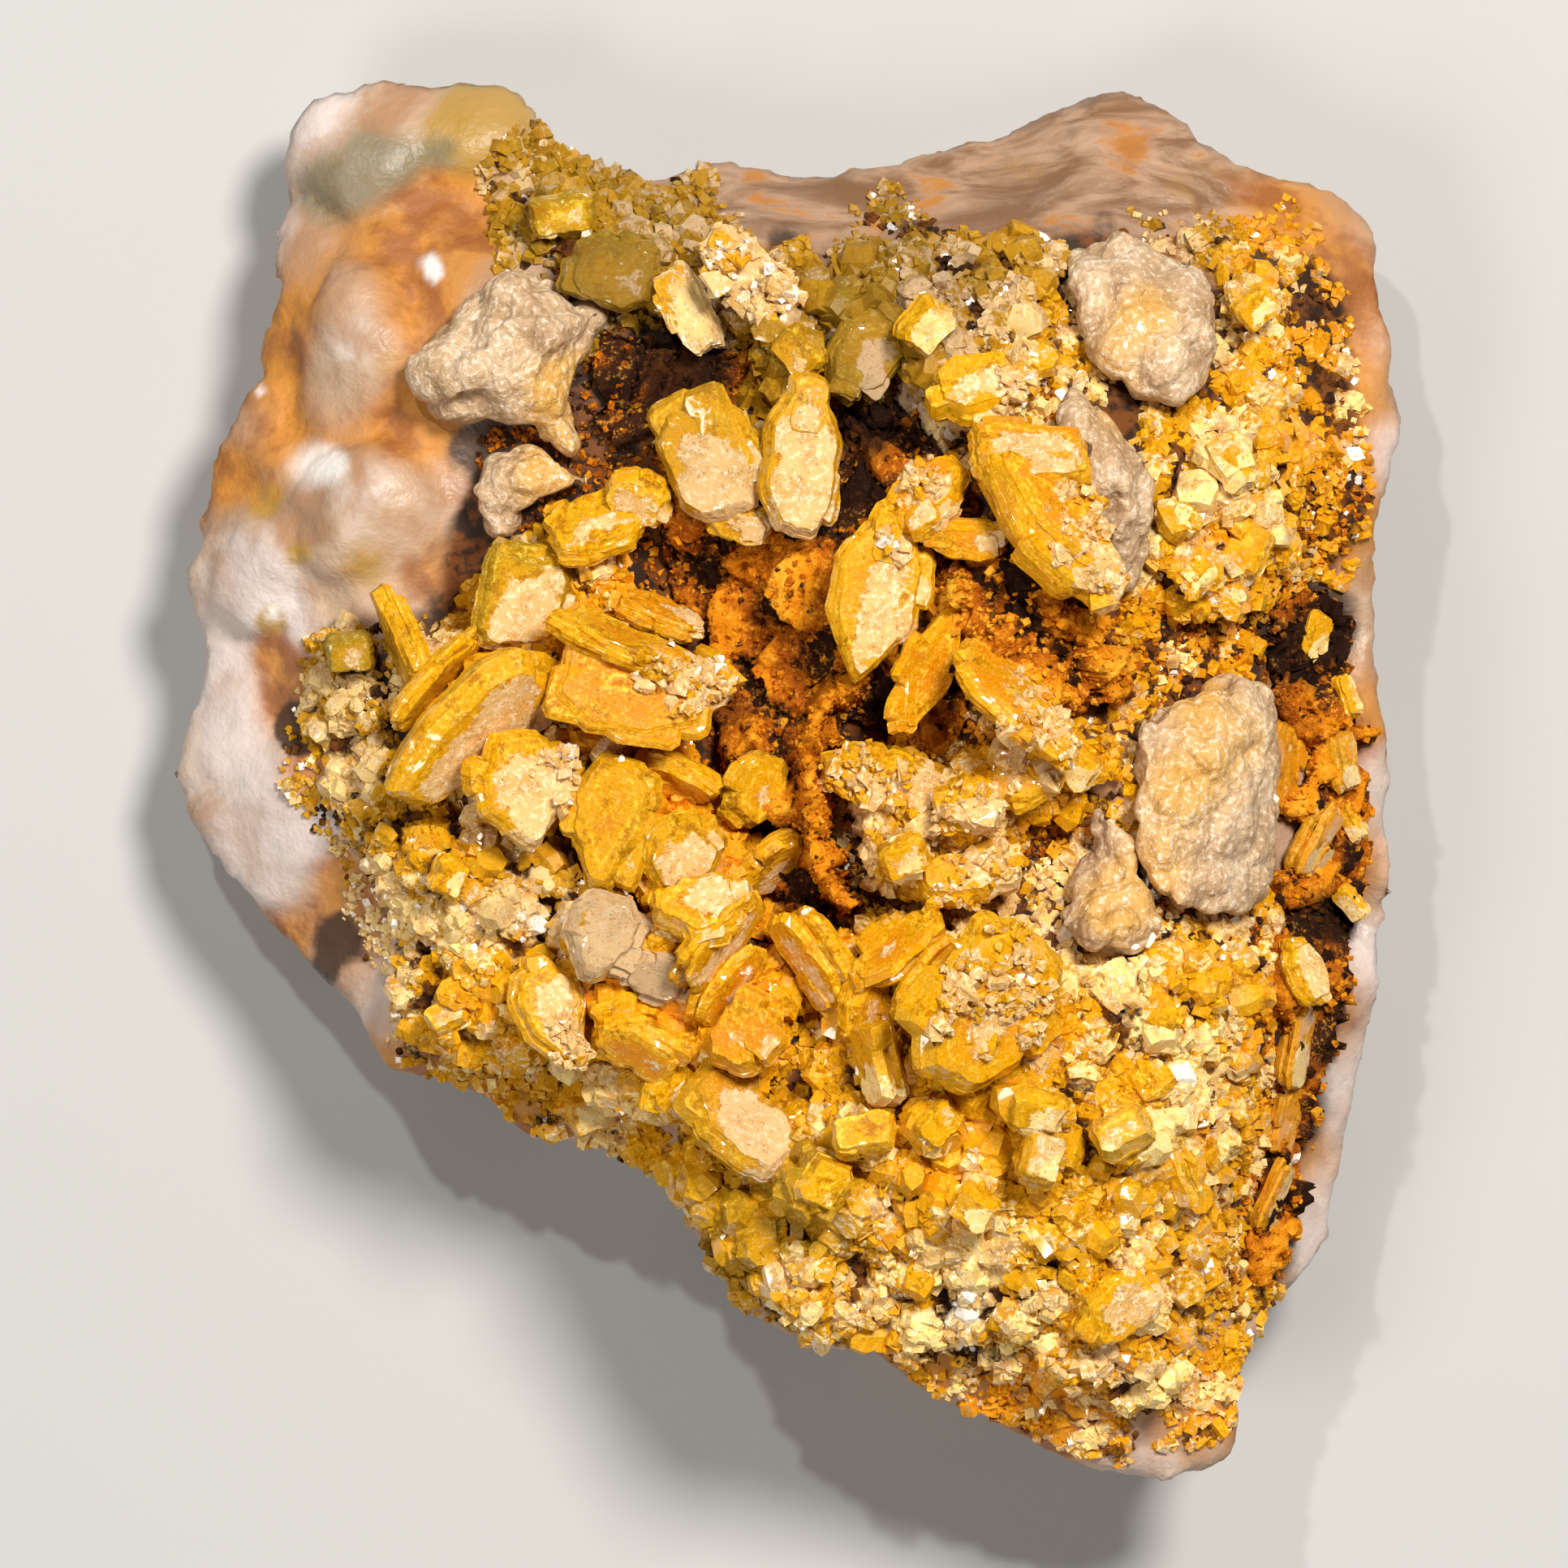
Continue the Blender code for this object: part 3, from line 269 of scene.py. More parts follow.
class Wire:
    """An output socket that works in sums."""

    def __init__(self, recipe, socket):
        self.recipe, self.socket = recipe, socket

    def sum(self, operation, first, second):
        coloured = self.socket.type in ("RGBA", "VECTOR")
        kind = "ShaderNodeVectorMath" if coloured else "ShaderNodeMath"
        return self.recipe.node(kind, {"operation": operation}, {0: first, 1: second})

    __add__, __radd__ = sign("ADD")
    __sub__, __rsub__ = sign("SUBTRACT")
    __mul__, __rmul__ = sign("MULTIPLY")


print("signs", [name for name in vars(Wire) if name.startswith("__r")])


# %% Recipes
class Recipe:
    """A material that is being wired up."""

    def __init__(self, name):
        self.material = bpy.data.materials.new(name)
        self.material.use_nodes = True
        self.tree = self.material.node_tree
        self.tree.nodes.clear()
        self.place = self.node("ShaderNodeTexCoord", output="Object")

    def node(self, kind, settings=None, inputs=None, output=0):
        made = self.tree.nodes.new(kind)
        for key, value in (settings or {}).items():
            setattr(made, key, value)
        for key, value in (inputs or {}).items():
            socket = made.inputs[key]
            if isinstance(value, Wire):
                self.tree.links.new(value.socket, socket)
            elif hasattr(socket.default_value, "__len__"):
                size = len(socket.default_value)
                wide = value if hasattr(value, "__len__") else (value,) * 3
                socket.default_value = (tuple(wide) + (1.0,))[:size]
            else:
                socket.default_value = value
        return Wire(self, made.outputs[output]) if len(made.outputs) else None

    def mark(self, name):
        return self.node("ShaderNodeAttribute", {"attribute_name": name}, output="Fac")

    def noise(self, size, detail, roughness=0.55, distortion=0.0, squeeze=None):
        """Noise from 0 to 1 with features about size millimetres across."""
        return self.node("ShaderNodeTexNoise", {}, {
            "Vector": self.place * squeeze if squeeze else self.place, "Scale": 1 / (size * MM),
            "Detail": detail, "Roughness": roughness, "Distortion": distortion})

    def cells(self, size):
        """Distance to the nearest of the points scattered about size millimetres apart."""
        return self.node("ShaderNodeTexVoronoi", {}, {"Vector": self.place, "Scale": 1 / (size * MM)})

    def step(self, value, low, high):
        """0 below low and 1 above high, eased between."""
        return self.node("ShaderNodeMapRange", {"interpolation_type": "SMOOTHSTEP"}, {
            "Value": value, "From Min": low, "From Max": high})

    def blend(self, low, high, share):
        return self.node("ShaderNodeMix", {"data_type": "RGBA"}, {0: share, 6: low, 7: high}, output=2)

    def over(self, colour, *layers):
        """Tints laid over a colour, one after another. Each is a tint, its strength, a value, and the
        low and high between which the value brings it in."""
        for tint, strength, *stepped in layers:
            share = self.step(*stepped)
            colour = self.blend(colour, tint, share if strength == 1 else strength * share)
        return colour

    def bump(self, height, depth, strength):
        """Normals for relief that is depth millimetres deep where height goes from 0 to 1."""
        return self.node("ShaderNodeBump", {}, {
            "Height": height, "Distance": depth * MM, "Strength": strength})

    def finish(self, **inputs):
        """Ends the recipe in a surface shader, whose inputs are given with _ for each space."""
        named = {key.replace("_", " "): value for key, value in inputs.items()}
        surface = self.node("ShaderNodeBsdfPrincipled", {}, named)
        self.node("ShaderNodeOutputMaterial", {}, {"Surface": surface})
        return self.material


print("steps of a recipe", [name for name in vars(Recipe) if not name.startswith("__")])


# %% [markdown]
# ## The host rock's finish
# The vein rock is a pale, faintly pink quartz and calcite, waxy where it is broken and stained by iron
# in orange, ochre and brown. Marks laid on the points say roughly where each stain lies, and noise in
# the finish breaks up their edges, so that they seep and fade as a real stain does. Other marks paint
# light and shade into the colour: the hollow and its caves are painted brown to near black, partly the
# iron oxide there and partly painted shade, and small pale spots are painted highlights.

# %% Rock finish
def rock_finish():
    r = Recipe("pale_vein_rock")
    broad = r.noise(3.0, 4, 0.5, 0.6)
    fine = r.noise(0.7, 3, 0.6)
    bands = r.noise(1.5, 4, 0.6, 0.8, squeeze=(0.30, 1.0, 1.0))
    ragged = 0.8 * broad + 0.3 * fine - 0.55
    tan = r.blend((0.40, 0.22, 0.12), (0.52, 0.36, 0.24), r.step(broad + 0.2 * fine, 0.46, 0.72))
    pale = r.blend((0.54, 0.41, 0.34), (0.66, 0.56, 0.51), r.step(broad + 0.2 * fine, 0.42, 0.70))
    umber = r.blend((0.20, 0.10, 0.048), (0.44, 0.28, 0.18), r.step(bands, 0.36, 0.64))
    umber = r.over(umber, ((0.44, 0.16, 0.015), 0.8, bands + 0.4 * broad, 0.76, 0.86))
    colour = r.over(
        tan,
        (pale, 1, r.mark("bleach") + 0.8 * broad - 0.4, 0.25, 0.70),
        (umber, 1, r.mark("umber") + ragged, 0.25, 0.65),
        ((0.40, 0.23, 0.035), 0.85, r.mark("ochre") + ragged, 0.25, 0.70),
        ((0.17, 0.15, 0.085), 0.8, r.mark("olive") + ragged, 0.25, 0.75))
    rust = r.step(r.mark("rust") + 1.3 * ragged, 0.05, 0.95)
    rust_tint = r.blend((0.56, 0.22, 0.02), (0.30, 0.085, 0.004), r.step(0.4 * fine + broad, 0.58, 0.86))
    # Small pale spots painted near white: painted highlights where light catches the waxy lumps.
    gleam = r.step(r.mark("gleam") + 0.9 * ragged, 0.15, 1.05)
    # The hollow between the crusts is painted brown to near black: partly the iron oxide there, partly
    # painted shade.
    hollow = r.step(r.mark("hollow") + 0.4 * ragged, 0.36, 0.72)
    hollow_tint = r.blend((0.15, 0.042, 0.004), (0.022, 0.008, 0.003), r.step(fine + 0.4 * broad, 0.62, 0.78))
    colour = r.blend(colour, rust_tint, 0.92 * rust)
    colour = r.blend(colour, (0.90, 0.87, 0.83), 0.85 * gleam)
    colour = r.blend(colour, hollow_tint, 0.98 * hollow)
    # Brown-black spots in caves and gaps: partly dark oxide, partly painted shade.
    colour = r.over(colour, ((0.045, 0.022, 0.012), 0.92, r.mark("dark") + ragged, 0.40, 0.75))
    return r.finish(
        Base_Color=colour, IOR=1.45,
        Roughness=0.34 + 0.2 * rust + 0.15 * fine - 0.2 * gleam + 0.35 * hollow,
        Normal=r.bump(fine + 0.5 * broad + 0.5 * bands * r.mark("umber"), 0.22, 0.5))


# %% [markdown]
# ## The limonite's finish
# Limonite is what water left of an iron ore: earthy, porous, orange where it is powder and almost
# black where it is dense. Its pits and caves are also painted darker and its raised parts warmer, as
# painted shade and light. It has no gloss, so only colour and a strong fine relief describe it.

# %% Limonite finish
def limonite_finish():
    r = Recipe("crumbly_limonite")
    broad = r.noise(1.5, 4, 0.6)
    fine = r.noise(0.28, 4, 0.7)
    grit = r.noise(0.11, 2, 0.5)
    warm = r.mark("warm") + 0.8 * broad + 0.6 * fine + 0.5 * grit - 1.0
    colour = r.over(
        r.blend((0.045, 0.014, 0.006), (0.40, 0.095, 0.004), r.step(warm, 0.10, 0.42)),
        ((0.74, 0.25, 0.006), 1, warm, 0.42, 0.85),
        ((0.86, 0.42, 0.03), 0.75, warm, 0.80, 1.25),
        ((0.90, 0.44, 0.05), 0.6, fine + 0.3 * grit, 0.68, 0.86),
        ((0.022, 0.008, 0.004), 0.9, fine + 0.25 * broad, 0.53, 0.42),
        # Near black where marked: partly dense limonite, partly painted shade in caves and pits.
        ((0.018, 0.006, 0.003), 0.94, r.mark("dark") + 0.5 * broad, 0.50, 0.90))
    return r.finish(
        Base_Color=colour, Roughness=0.72 + 0.25 * fine, IOR=1.35, Specular_IOR_Level=0.15,
        Normal=r.bump(fine, 0.18, 0.9))


# %% [markdown]
# ## The calcite's finish
# The patches are made of interlocked grains of pale, cloudy calcite. Light goes a little way in and
# comes out again, which the subsurface part of the shader does. Rust shows through where a grain is
# thin, and a fine cellular relief makes the faces of the grains catch the light one by one.

# %% Calcite finish
def calcite_finish():
    r = Recipe("cloudy_calcite")
    broad = r.noise(1.7, 3)
    fine = r.noise(0.22, 3, 0.6)
    grain = r.cells(0.45)
    colour = r.over(
        r.blend((0.42, 0.26, 0.135), (0.64, 0.45, 0.27), r.step(broad + 0.35 * fine, 0.48, 0.80)),
        ((0.40, 0.23, 0.10), 0.25, grain, 0.45, 0.75),
        ((0.70, 0.37, 0.05), 0.70, r.mark("rust") + 0.6 * broad + 0.2 * fine, 0.46, 0.95),
        # Pale flecks: partly pale grains, partly painted sparkle, as painted highlights.
        ((0.88, 0.75, 0.59), 0.6, fine + 0.3 * broad, 0.67, 0.80))
    return r.finish(
        Base_Color=colour, Roughness=0.26 + 0.35 * fine, IOR=1.42,
        Coat_Weight=0.8 * r.step(broad + 0.5 * fine, 0.82, 0.90), Coat_Roughness=0.10, Coat_IOR=1.6,
        Subsurface_Weight=0.4, Subsurface_Scale=0.6 * MM, Subsurface_Radius=(1.0, 0.7, 0.5),
        Normal=r.bump(0.8 * fine - 0.8 * grain, 0.18, 0.9))


# %% [markdown]
# ## The wulfenite's finish
# Wulfenite is resinous and strongly coloured: lemon where it is thin, honey to orange where it is
# deep. Its broad faces are etched to a cream frost full of tiny brown specks, while the narrow rims
# stay glossy and striated. Each point knows how far inside a face it lies, so the frost begins at a
# ragged line inside the rim. The small crystals of the crusts use the same recipe in duller tones.

# %% Wulfenite finish
def wulfenite_finish(name, honey, cream, relief_depth, glow):
    r = Recipe(name)
    broad = r.noise(1.1, 3, 0.55, 0.4)
    fine = r.noise(0.24, 4, 0.68)
    grit = r.noise(0.10, 2, 0.5)
    lines = r.node("ShaderNodeTexNoise", {"noise_dimensions": "1D"}, {
        "W": r.mark("level"), "Scale": 5.0, "Detail": 3.0, "Roughness": 0.7})
    warm = r.mark("warm") + 0.9 * broad - 0.45
    crystal = r.over(
        r.blend((0.33, 0.20, 0.004), (0.72, 0.34, 0.001), r.step(warm, -0.05, 0.40)),
        (honey, 1, warm, 0.45, 0.90),
        # Lemon patches: a paler tone of the crystal, and partly painted highlights.
        ((1.0, 0.64, 0.06), 0.70, 0.6 * fine + 0.4 * lines, 0.52, 0.64),
        ((0.38, 0.13, 0.001), 0.85, 0.5 * fine + 0.5 * broad + 0.2 * lines, 0.59, 0.46),
        ((1.0, 0.74, 0.22), 0.22, grit, 0.56, 0.66),
        ((0.42, 0.15, 0.002), 0.25, grit, 0.44, 0.34))
    crystal = r.blend(crystal, (0.17, 0.095, 0.012), 0.80 * r.mark("dull"))
    etched = r.over(
        cream,
        ((0.68, 0.38, 0.10), 1, broad + 0.2 * fine, 0.50, 0.74),
        # Pale specks in the frost: its own pale grains, and partly painted sparkle.
        ((1.0, 0.84, 0.56), 0.7, fine + 0.3 * grit + 0.15 * broad, 0.72, 0.84))
    etched = r.blend(etched, (0.50, 0.34, 0.19), 1.15 * r.mark("dull"))
    etched = r.over(
        etched,
        ((1.0, 0.93, 0.82), 1, r.mark("frost") + 0.3 * broad, 1.20, 1.45),
        ((0.30, 0.14, 0.05), 0.7, grit + 0.25 * broad, 0.72, 0.80))
    frost = r.step(r.mark("frost") + 0.75 * fine + 0.40 * broad + 0.10 * lines - 0.61, 0.36, 0.52)
    # Dark brown to black: partly real grime and black specks, partly painted shade in clefts and in the gaps
    # between tablets.
    dirt = r.step(r.mark("dirt") + 0.5 * broad + 0.4 * fine - 0.45, 0.40, 0.62)
    dirt_and_shade_tint = r.blend((0.16, 0.050, 0.006), (0.030, 0.012, 0.006), r.step(broad + 0.5 * fine, 0.66, 0.88))
    # Near white where marked: painted glints, with lower roughness.
    gleam = r.mark("gleam")
    colour = r.blend(r.blend(crystal, etched, 0.92 * frost), dirt_and_shade_tint, dirt)
    return r.finish(
        Base_Color=r.blend(colour, (1.0, 0.97, 0.93), gleam), IOR=1.42, Specular_IOR_Level=0.20,
        Roughness=(0.28 + 0.35 * frost + 0.55 * dirt) * (1.0 - 0.7 * gleam),
        Coat_Weight=r.step(broad + 0.4 * fine, 0.70, 0.78) * (1.0 - dirt), Coat_Roughness=0.07, Coat_IOR=1.8,
        Subsurface_Weight=glow, Subsurface_Scale=0.4 * MM, Subsurface_Radius=(1.0, 0.6, 0.15),
        Normal=r.bump(fine + 0.35 * frost + 0.25 * lines, relief_depth, 0.7))


finishes = {
    "rock": rock_finish(),
    "limonite": limonite_finish(),
    "calcite": calcite_finish(),
    "wulfenite": wulfenite_finish("honey_wulfenite", (0.70, 0.24, 0.002), (0.80, 0.50, 0.20), 0.07, 0.15),
    "wulfenite_druse": wulfenite_finish("druse_wulfenite", (0.86, 0.32, 0.004),
                                        (0.96, 0.71, 0.25), 0.06, 0.0),
}
print(sorted(finishes))


# %% [markdown]
# ## The host rock
# The rock is the biggest piece and shows along the rim, between the crusts, and on every side. Its
# upper lumps are smooth and waxy, while its broken sides are rough and stepped. The same net carries
# both, with stronger relief where the surface faces sideways.

# %% Where the rock is stained, and where shade and highlights are painted on it: x, y, radius, strength
STAINS_AND_PAINTED_LIGHT = {
    "rust": [
        (-19.3, 15.6, 1.8, 1.1), (-18, 18, 1.8, 0.9), (-13.6, 17.4, 1.7, 1.1), (-13, 13.8, 1.8, 1),
        (-15, 20.2, 2.2, 0.8), (-12.4, 19.4, 1.6, 0.9), (-18.3, 12.6, 1.8, 0.9), (-12.4, 21.8, 1.4, 0.9),
        (-20.8, 11.4, 1.4, 1), (-14.6, 13.2, 2, 0.8), (-11.3, 20.9, 0.9, 1.8), (12.6, 23.6, 1.6, 0.3),
        (18.6, 21, 2.4, 0.9), (20.6, 18.2, 1.8, 1.1), (20.6, 14.5, 2, 1.2), (20.6, 9.8, 2, 1.2),
        (20.9, 2.5, 2, 0.9), (21, -3, 1.9, 0.9), (20.2, -8.5, 1.8, 0.8), (18.9, -13.5, 1.6, 0.8),
        (16, -22.6, 1.8, 0.9), (10.5, -23.4, 2.6, 0.8), (5, -20.6, 2.4, 0.7), (-13.6, -10.2, 1.6, 1),
        (-10.2, -12, 1.6, 0.9), (-6, -14, 1.6, 0.6), (-17.3, 4, 1, 0.8), (-16.6, 1.6, 1.4, 0.7),
        (0, 9, 7, 1), (4, 0, 7, 1), (-6, 3, 6, 1), (15, 3, 4, 0.9), (6, -14, 8, 0.8), (13, 14, 4, 0.8),
        (-16.4, -3.4, 1, 0.8), (-13.2, 7.6, 1.4, 0.7), (-16, -5, 2.3, 0.9), (-19, 4.9, 0.8, 0.9),
        (-18.6, -5.6, 1.2, 0.5), (-18.3, 3.1, 1.5, 0.9), (-17.6, 0.2, 1.4, 0.9),
    ],
    # caves and gaps: partly dark oxide and partly painted shade
    "dark": [
        (-16.4, -5.6, 1.3, 1), (-17.2, -7.2, 0.8, 0.9), (-17.9, 1.9, 0.9, 0.9), (-16.9, 3, 0.6, 0.7),
        (-11.7, 12.3, 1.3, 0.9), (-3, 15, 3.2, 0.9), (4, 12.6, 2.4, 0.9), (-1.5, 6, 3, 0.6),
        (19.6, 6, 2, 1), (20.2, -5, 1.5, 1), (16, 4.6, 2, 0.8), (-12.2, 5.6, 1.6, 0.9), (-6.5, 8, 1.8, 0.5),
        (17.8, 19.4, 1.2, 0.8), (10.4, 18.8, 1.4, 0.9), (12, 21, 1.2, 0.5), (19.5, 16.2, 1.2, 0.9),
        (5, 2.6, 2.2, 0.6), (-9.8, 8.8, 1.2, 0.9), (-10.6, 13, 1, 0.8), (0, 19.9, 1.2, 0.7),
        (4.6, 20.2, 1.4, 0.7), (-14.2, -7.4, 0.8, 0.8), (-18.1, 2.2, 0.9, 0.8),
    ],
    "ochre": [
        (-11.1, 24.5, 1.9, 1.1), (-12.2, 22.9, 1.6, 0.7), (-19.2, 10.5, 0.8, 1.1), (-19, 6, 0.6, 1),
        (-14.4, 15.6, 1.2, 0.5), (9, 22.8, 1.8, 0.4), (15.2, 22.4, 1.6, 0.4), (-15.4, 8, 1.2, 0.5),
        (-9.8, -13.2, 1.2, 0.5), (-2, -15.8, 1.8, 0.5), (-18, 8.6, 0.7, 0.8),
    ],
    # the hollow: partly iron oxide and partly painted shade
    "hollow": [
        (0, 9, 7.5, 1), (4, 0, 7.5, 1), (-6, 3, 6, 1), (-4, -6, 6, 1), (8, -10, 7, 1), (15.5, 6, 4, 1),
        (12, -16, 4.5, 1), (4, 15, 5, 1), (15, 14, 3.5, 1), (-11, -4, 3.5, 1), (-6, 17.5, 3.5, 1),
        (-13, 1, 3, 1), (16, -6, 4, 1), (17.5, -12, 2.8, 1), (17, -17.5, 2, 0.9), (17.2, 11, 3.4, 1),
        (-10, -8.5, 3, 0.9), (-9.6, 6.6, 2.6, 1), (17.6, 15.6, 2.4, 1), (-8, 10, 2.6, 1), (0, -16, 3.2, 1),
        (10, 17, 3, 1), (-13.6, 3.4, 2, 0.9), (-8.2, 12.8, 2.6, 1.4), (-1, 2.5, 4.4, 1.4),
        (-7.4, 1.7, 3.2, 1.4), (18.8, 17.8, 2.2, 0.9), (19.2, 13.5, 2, 1), (19.4, 10.2, 1.8, 1),
        (12.6, 18.4, 2.2, 0.9), (-9.4, 8.6, 2.2, 1.2),
    ],
    "olive": [
        (-16.6, 21.9, 1.9, 0.9), (-14.3, 22.5, 1.6, 0.8), (-12.6, 23.4, 1, 0.5), (-15.4, 24.6, 1.2, 0.3),
    ],
    "umber": [
        (-5, 21.6, 3.4, 1), (0, 20.8, 3.4, 1), (5, 21.6, 3.4, 1), (9, 23.6, 3.4, 1), (13, 22.4, 3.4, 1),
        (16.5, 22, 3.4, 1), (12, 25.4, 3.4, 1),
    ],
    "bleach": [
        (-17.6, -2.2, 4.6, 1.1), (-20.2, 4.6, 2.8, 1), (-12.6, -9, 3, 0.9), (22.4, -1, 2.6, 1.2),
        (21.6, -8, 3.2, 1.2), (20.6, -15, 3.6, 1.2), (22.3, 12, 2.2, 0.8), (-17.8, 25.2, 2.4, 0.8),
        (-19.4, 20.6, 2, 0.7), (-19.6, 8, 1.9, 0.7), (12, -25.6, 3, 0.8), (-6.6, -13.6, 2.2, 0.9),
        (2.6, -22.4, 3, 0.8), (-15.8, 16.6, 1.6, 0.5), (-15.6, 10.8, 1.8, 0.5),
    ],
    # painted highlights: small pale spots on the waxy lumps
    "gleam": [
        (-17.5, 11.7, 1.1, 0.9), (-16.6, 11.9, 0.6, 0.8), (-13.1, 19.3, 0.4, 1), (-12.85, 18.85, 0.34, 0.9),
        (-19.4, 14.6, 0.3, 0.9), (-18.9, 6.3, 0.35, 0.9), (-16.2, 16, 0.5, 0.5),
    ],
}
print({name: len(spots) for name, spots in STAINS_AND_PAINTED_LIGHT.items()})

# %% Rounded waxy lumps on the rock: x, y, half width, half height, rise
DOMES = [
    (-15.8, 16.2, 2.4, 3.2, 0.8), (-15.4, 10.2, 2.9, 2.8, 0.8), (-19.8, 7.6, 2.2, 2.6, 0.7),
    (-16.4, 23.8, 4, 2.8, 0.9), (-11.4, 24.3, 2.6, 2.2, 0.7), (-19.6, 12.9, 1.6, 2.4, 0.5),
    (-18.6, -1.4, 2.8, 3.4, 0.4), (-20.8, 2.2, 1.8, 2.4, 0.4), (-11.8, 19.2, 1.6, 1.9, 0.5),
    (-13.6, 7, 1.5, 1.9, 0.4), (-17.2, 4.6, 1.7, 2, 0.4), (-18.4, 19.4, 2, 1.9, 0.5),
]
DOME_WARP = 0.7


def domes_at(points):
    """Height of the lumps over each point, from 0 at their feet, blended where they meet."""
    wander = np.stack([layered_noise(points, 2.6, 2, seed) for seed in (51, 55)], axis=1)
    place = points[:, :2] + DOME_WARP * wander
    rises = []
    for x, y, wide, high, up in DOMES:
        away = ((place[:, 0] - x) / wide) ** 2 + ((place[:, 1] - y) / high) ** 2
        rises.append(up * np.clip(1 - away, 0, 1) ** 0.7)
    return (np.array(rises) ** 3).sum(axis=0) ** (1 / 3)


# %% Grow the rock
ROCK_NET = 0.34
RELIEF_FADES = 1.2  # below this height the relief dies away, so the rock rests flat
rock_points, rock_faces = skin_of("host_rock", ROCK_NET, 9)
out = normals_of(rock_points, rock_faces)
sideways = np.clip(1.15 - np.abs(out[:, 2]) * 1.3, 0, 1)
clear_of_floor = np.clip(rock_points[:, 2] / RELIEF_FADES, 0, 1)
lumps = layered_noise(rock_points, 2.4, 4, seed=11)
broken = np.abs(layered_noise(rock_points * (1, 1, 1.6), 2.0, 4, seed=21))
pitted = cells_at(rock_points, 0.9, seed=31)[0]
domes = domes_at(rock_points) * (out[:, 2] > 0.2)
relief = 0.12 * lumps + sideways * (0.10 - 0.35 * broken) + 0.05 * (pitted - 0.5) + 0.9 * domes
rock_points = rock_points + out * (relief * clear_of_floor)[:, None]
rock_points[:, 2] = np.maximum(rock_points[:, 2], 0.0)
rock_marks = {name: spots_at(rock_points, spots) for name, spots in STAINS_AND_PAINTED_LIGHT.items()}
rock_marks["rust"] = np.clip(rock_marks["rust"] + 0.35 * sideways * (layered_noise(rock_points, 5.0, 2, 41) > 0.1)
                         - 0.55 * domes, 0, 1)
make_piece("host_rock_face", "host_rock", "rock", [(rock_points, rock_faces, rock_marks)], [True])
print("rock", made_pieces["host_rock_face"], "triangles")


# %% [markdown]
# ## Small crystals
# Crusts are built from thousands of small closed blocks. One block is a template of twelve corners:
# a square foot, a square girdle and a smaller square top. Copying the template with numpy, with every
# corner of every copy moved a little, gives as many different crystals as are wanted at little cost.

# %% Block crystals in bulk
BLOCK_LEVELS = [(-0.5, 0.86), (0.12, 1.0), (0.5, 0.62)]


def ring_template(sides, levels):
    """Corners and triangles of a closed stack of rings, each (height, width)."""
    angle = 2 * math.pi * (np.arange(sides) + 0.5) / sides
    ring = np.stack([np.cos(angle), np.sin(angle)], axis=1) / (2 * math.cos(math.pi / sides))
    corners = np.concatenate([np.column_stack([ring * wide, np.full(sides, high)])
                              for high, wide in levels])
    faces = []
    for level in range(len(levels) - 1):
        for k in range(sides):
            n = (k + 1) % sides
            a, b = level * sides, (level + 1) * sides
            faces += [(a + k, a + n, b + n), (a + k, b + n, b + k)]
    top = (len(levels) - 1) * sides
    for k in range(1, sides - 1):
        faces += [(0, k + 1, k), (top, top + k, top + k + 1)]
    return corners, np.array(faces)


def turned_to(normals, lean, rng):
    """Random frames whose third axis leans off the normals."""
    up = normals + lean * rng.normal(size=normals.shape)
    up /= np.linalg.norm(up, axis=1, keepdims=True)
    side = np.cross(up, rng.normal(size=up.shape))
    side /= np.linalg.norm(side, axis=1, keepdims=True)
    return np.stack([side, np.cross(up, side), up], axis=1)


def crystals_at(centres, frames, sizes, template, jitter, rng):
    """Copies of the template: sizes holds length, breadth and height of each."""
    corners, faces = template
    shaped = corners[None] + jitter * rng.uniform(-1, 1, (len(centres), *corners.shape))
    points = np.einsum("nvk,nkx->nvx", shaped * sizes[:, None, :], frames) + centres[:, None, :]
    starts = np.arange(len(centres)) * len(corners)
    return points.reshape(-1, 3), (faces[None] + starts[:, None, None]).reshape(-1, 3)


block_template = ring_template(4, BLOCK_LEVELS)
grain_template = ring_template(4, [(-0.5, 0.95), (0.5, 0.72)])
plate_template = ring_template(7, [(-0.5, 0.80), (0.05, 1.0), (0.5, 0.74)])
for template in (grain_template, block_template, plate_template):
    print(len(template[0]), "corners,", len(template[1]), "triangles")


# %% [markdown]
# ## Calcite patches
# A patch is a lumpy crust of interlocked grains. The skin takes a cellular relief of two sizes, the
# lumps and the grains in them, and is relaxed once more, since the finish draws the finest edges.

# %% Grow the calcite
CALCITE_NET = 0.19
CALCITE_RUST = [
    (14.6, 0, 1.6, 0.6), (13.4, -3.4, 1.8, 0.5), (12, -4.6, 1.2, 0.7), (16.8, 1.6, 1.5, 0.4),
    (12.3, 13.6, 1.4, 0.4), (-8.4, 14.6, 1.2, 0.4), (-9, 11, 1.5, 0.4), (12, 16, 1.4, 0.3),
    (-7, 14, 1.6, 1.3), (-7.6, 12, 1.4, 1.2), (13.4, 17.4, 1.2, 0.6), (15.2, 3.2, 1.2, 0.6),
]
ground_meshes = {"host_rock": (rock_points, rock_faces)}
for node in kinds["calcite"]:
    points, faces = skin_of(node, CALCITE_NET, 6)
    out = normals_of(points, faces)
    coarse, step, slope = cells_at(points, 1.5, seed=3)
    grain, label, face = cells_at(points, 0.62, seed=5)
    relief = (0.55 * (0.52 - coarse) + 0.30 * step + 0.15 * slope
              + 0.05 * (0.5 - grain) + 0.02 * label + 0.05 * face)
    points = relaxed(points + out * relief[:, None], faces, 1)
    ground_meshes[node] = (points, faces)
    make_piece(node + "_grains", node, "calcite",
               [(points, faces, {"rust": spots_at(points, CALCITE_RUST)})], [True])
print("calcite", sum(made_pieces[n + "_grains"] for n in kinds["calcite"]), "triangles")


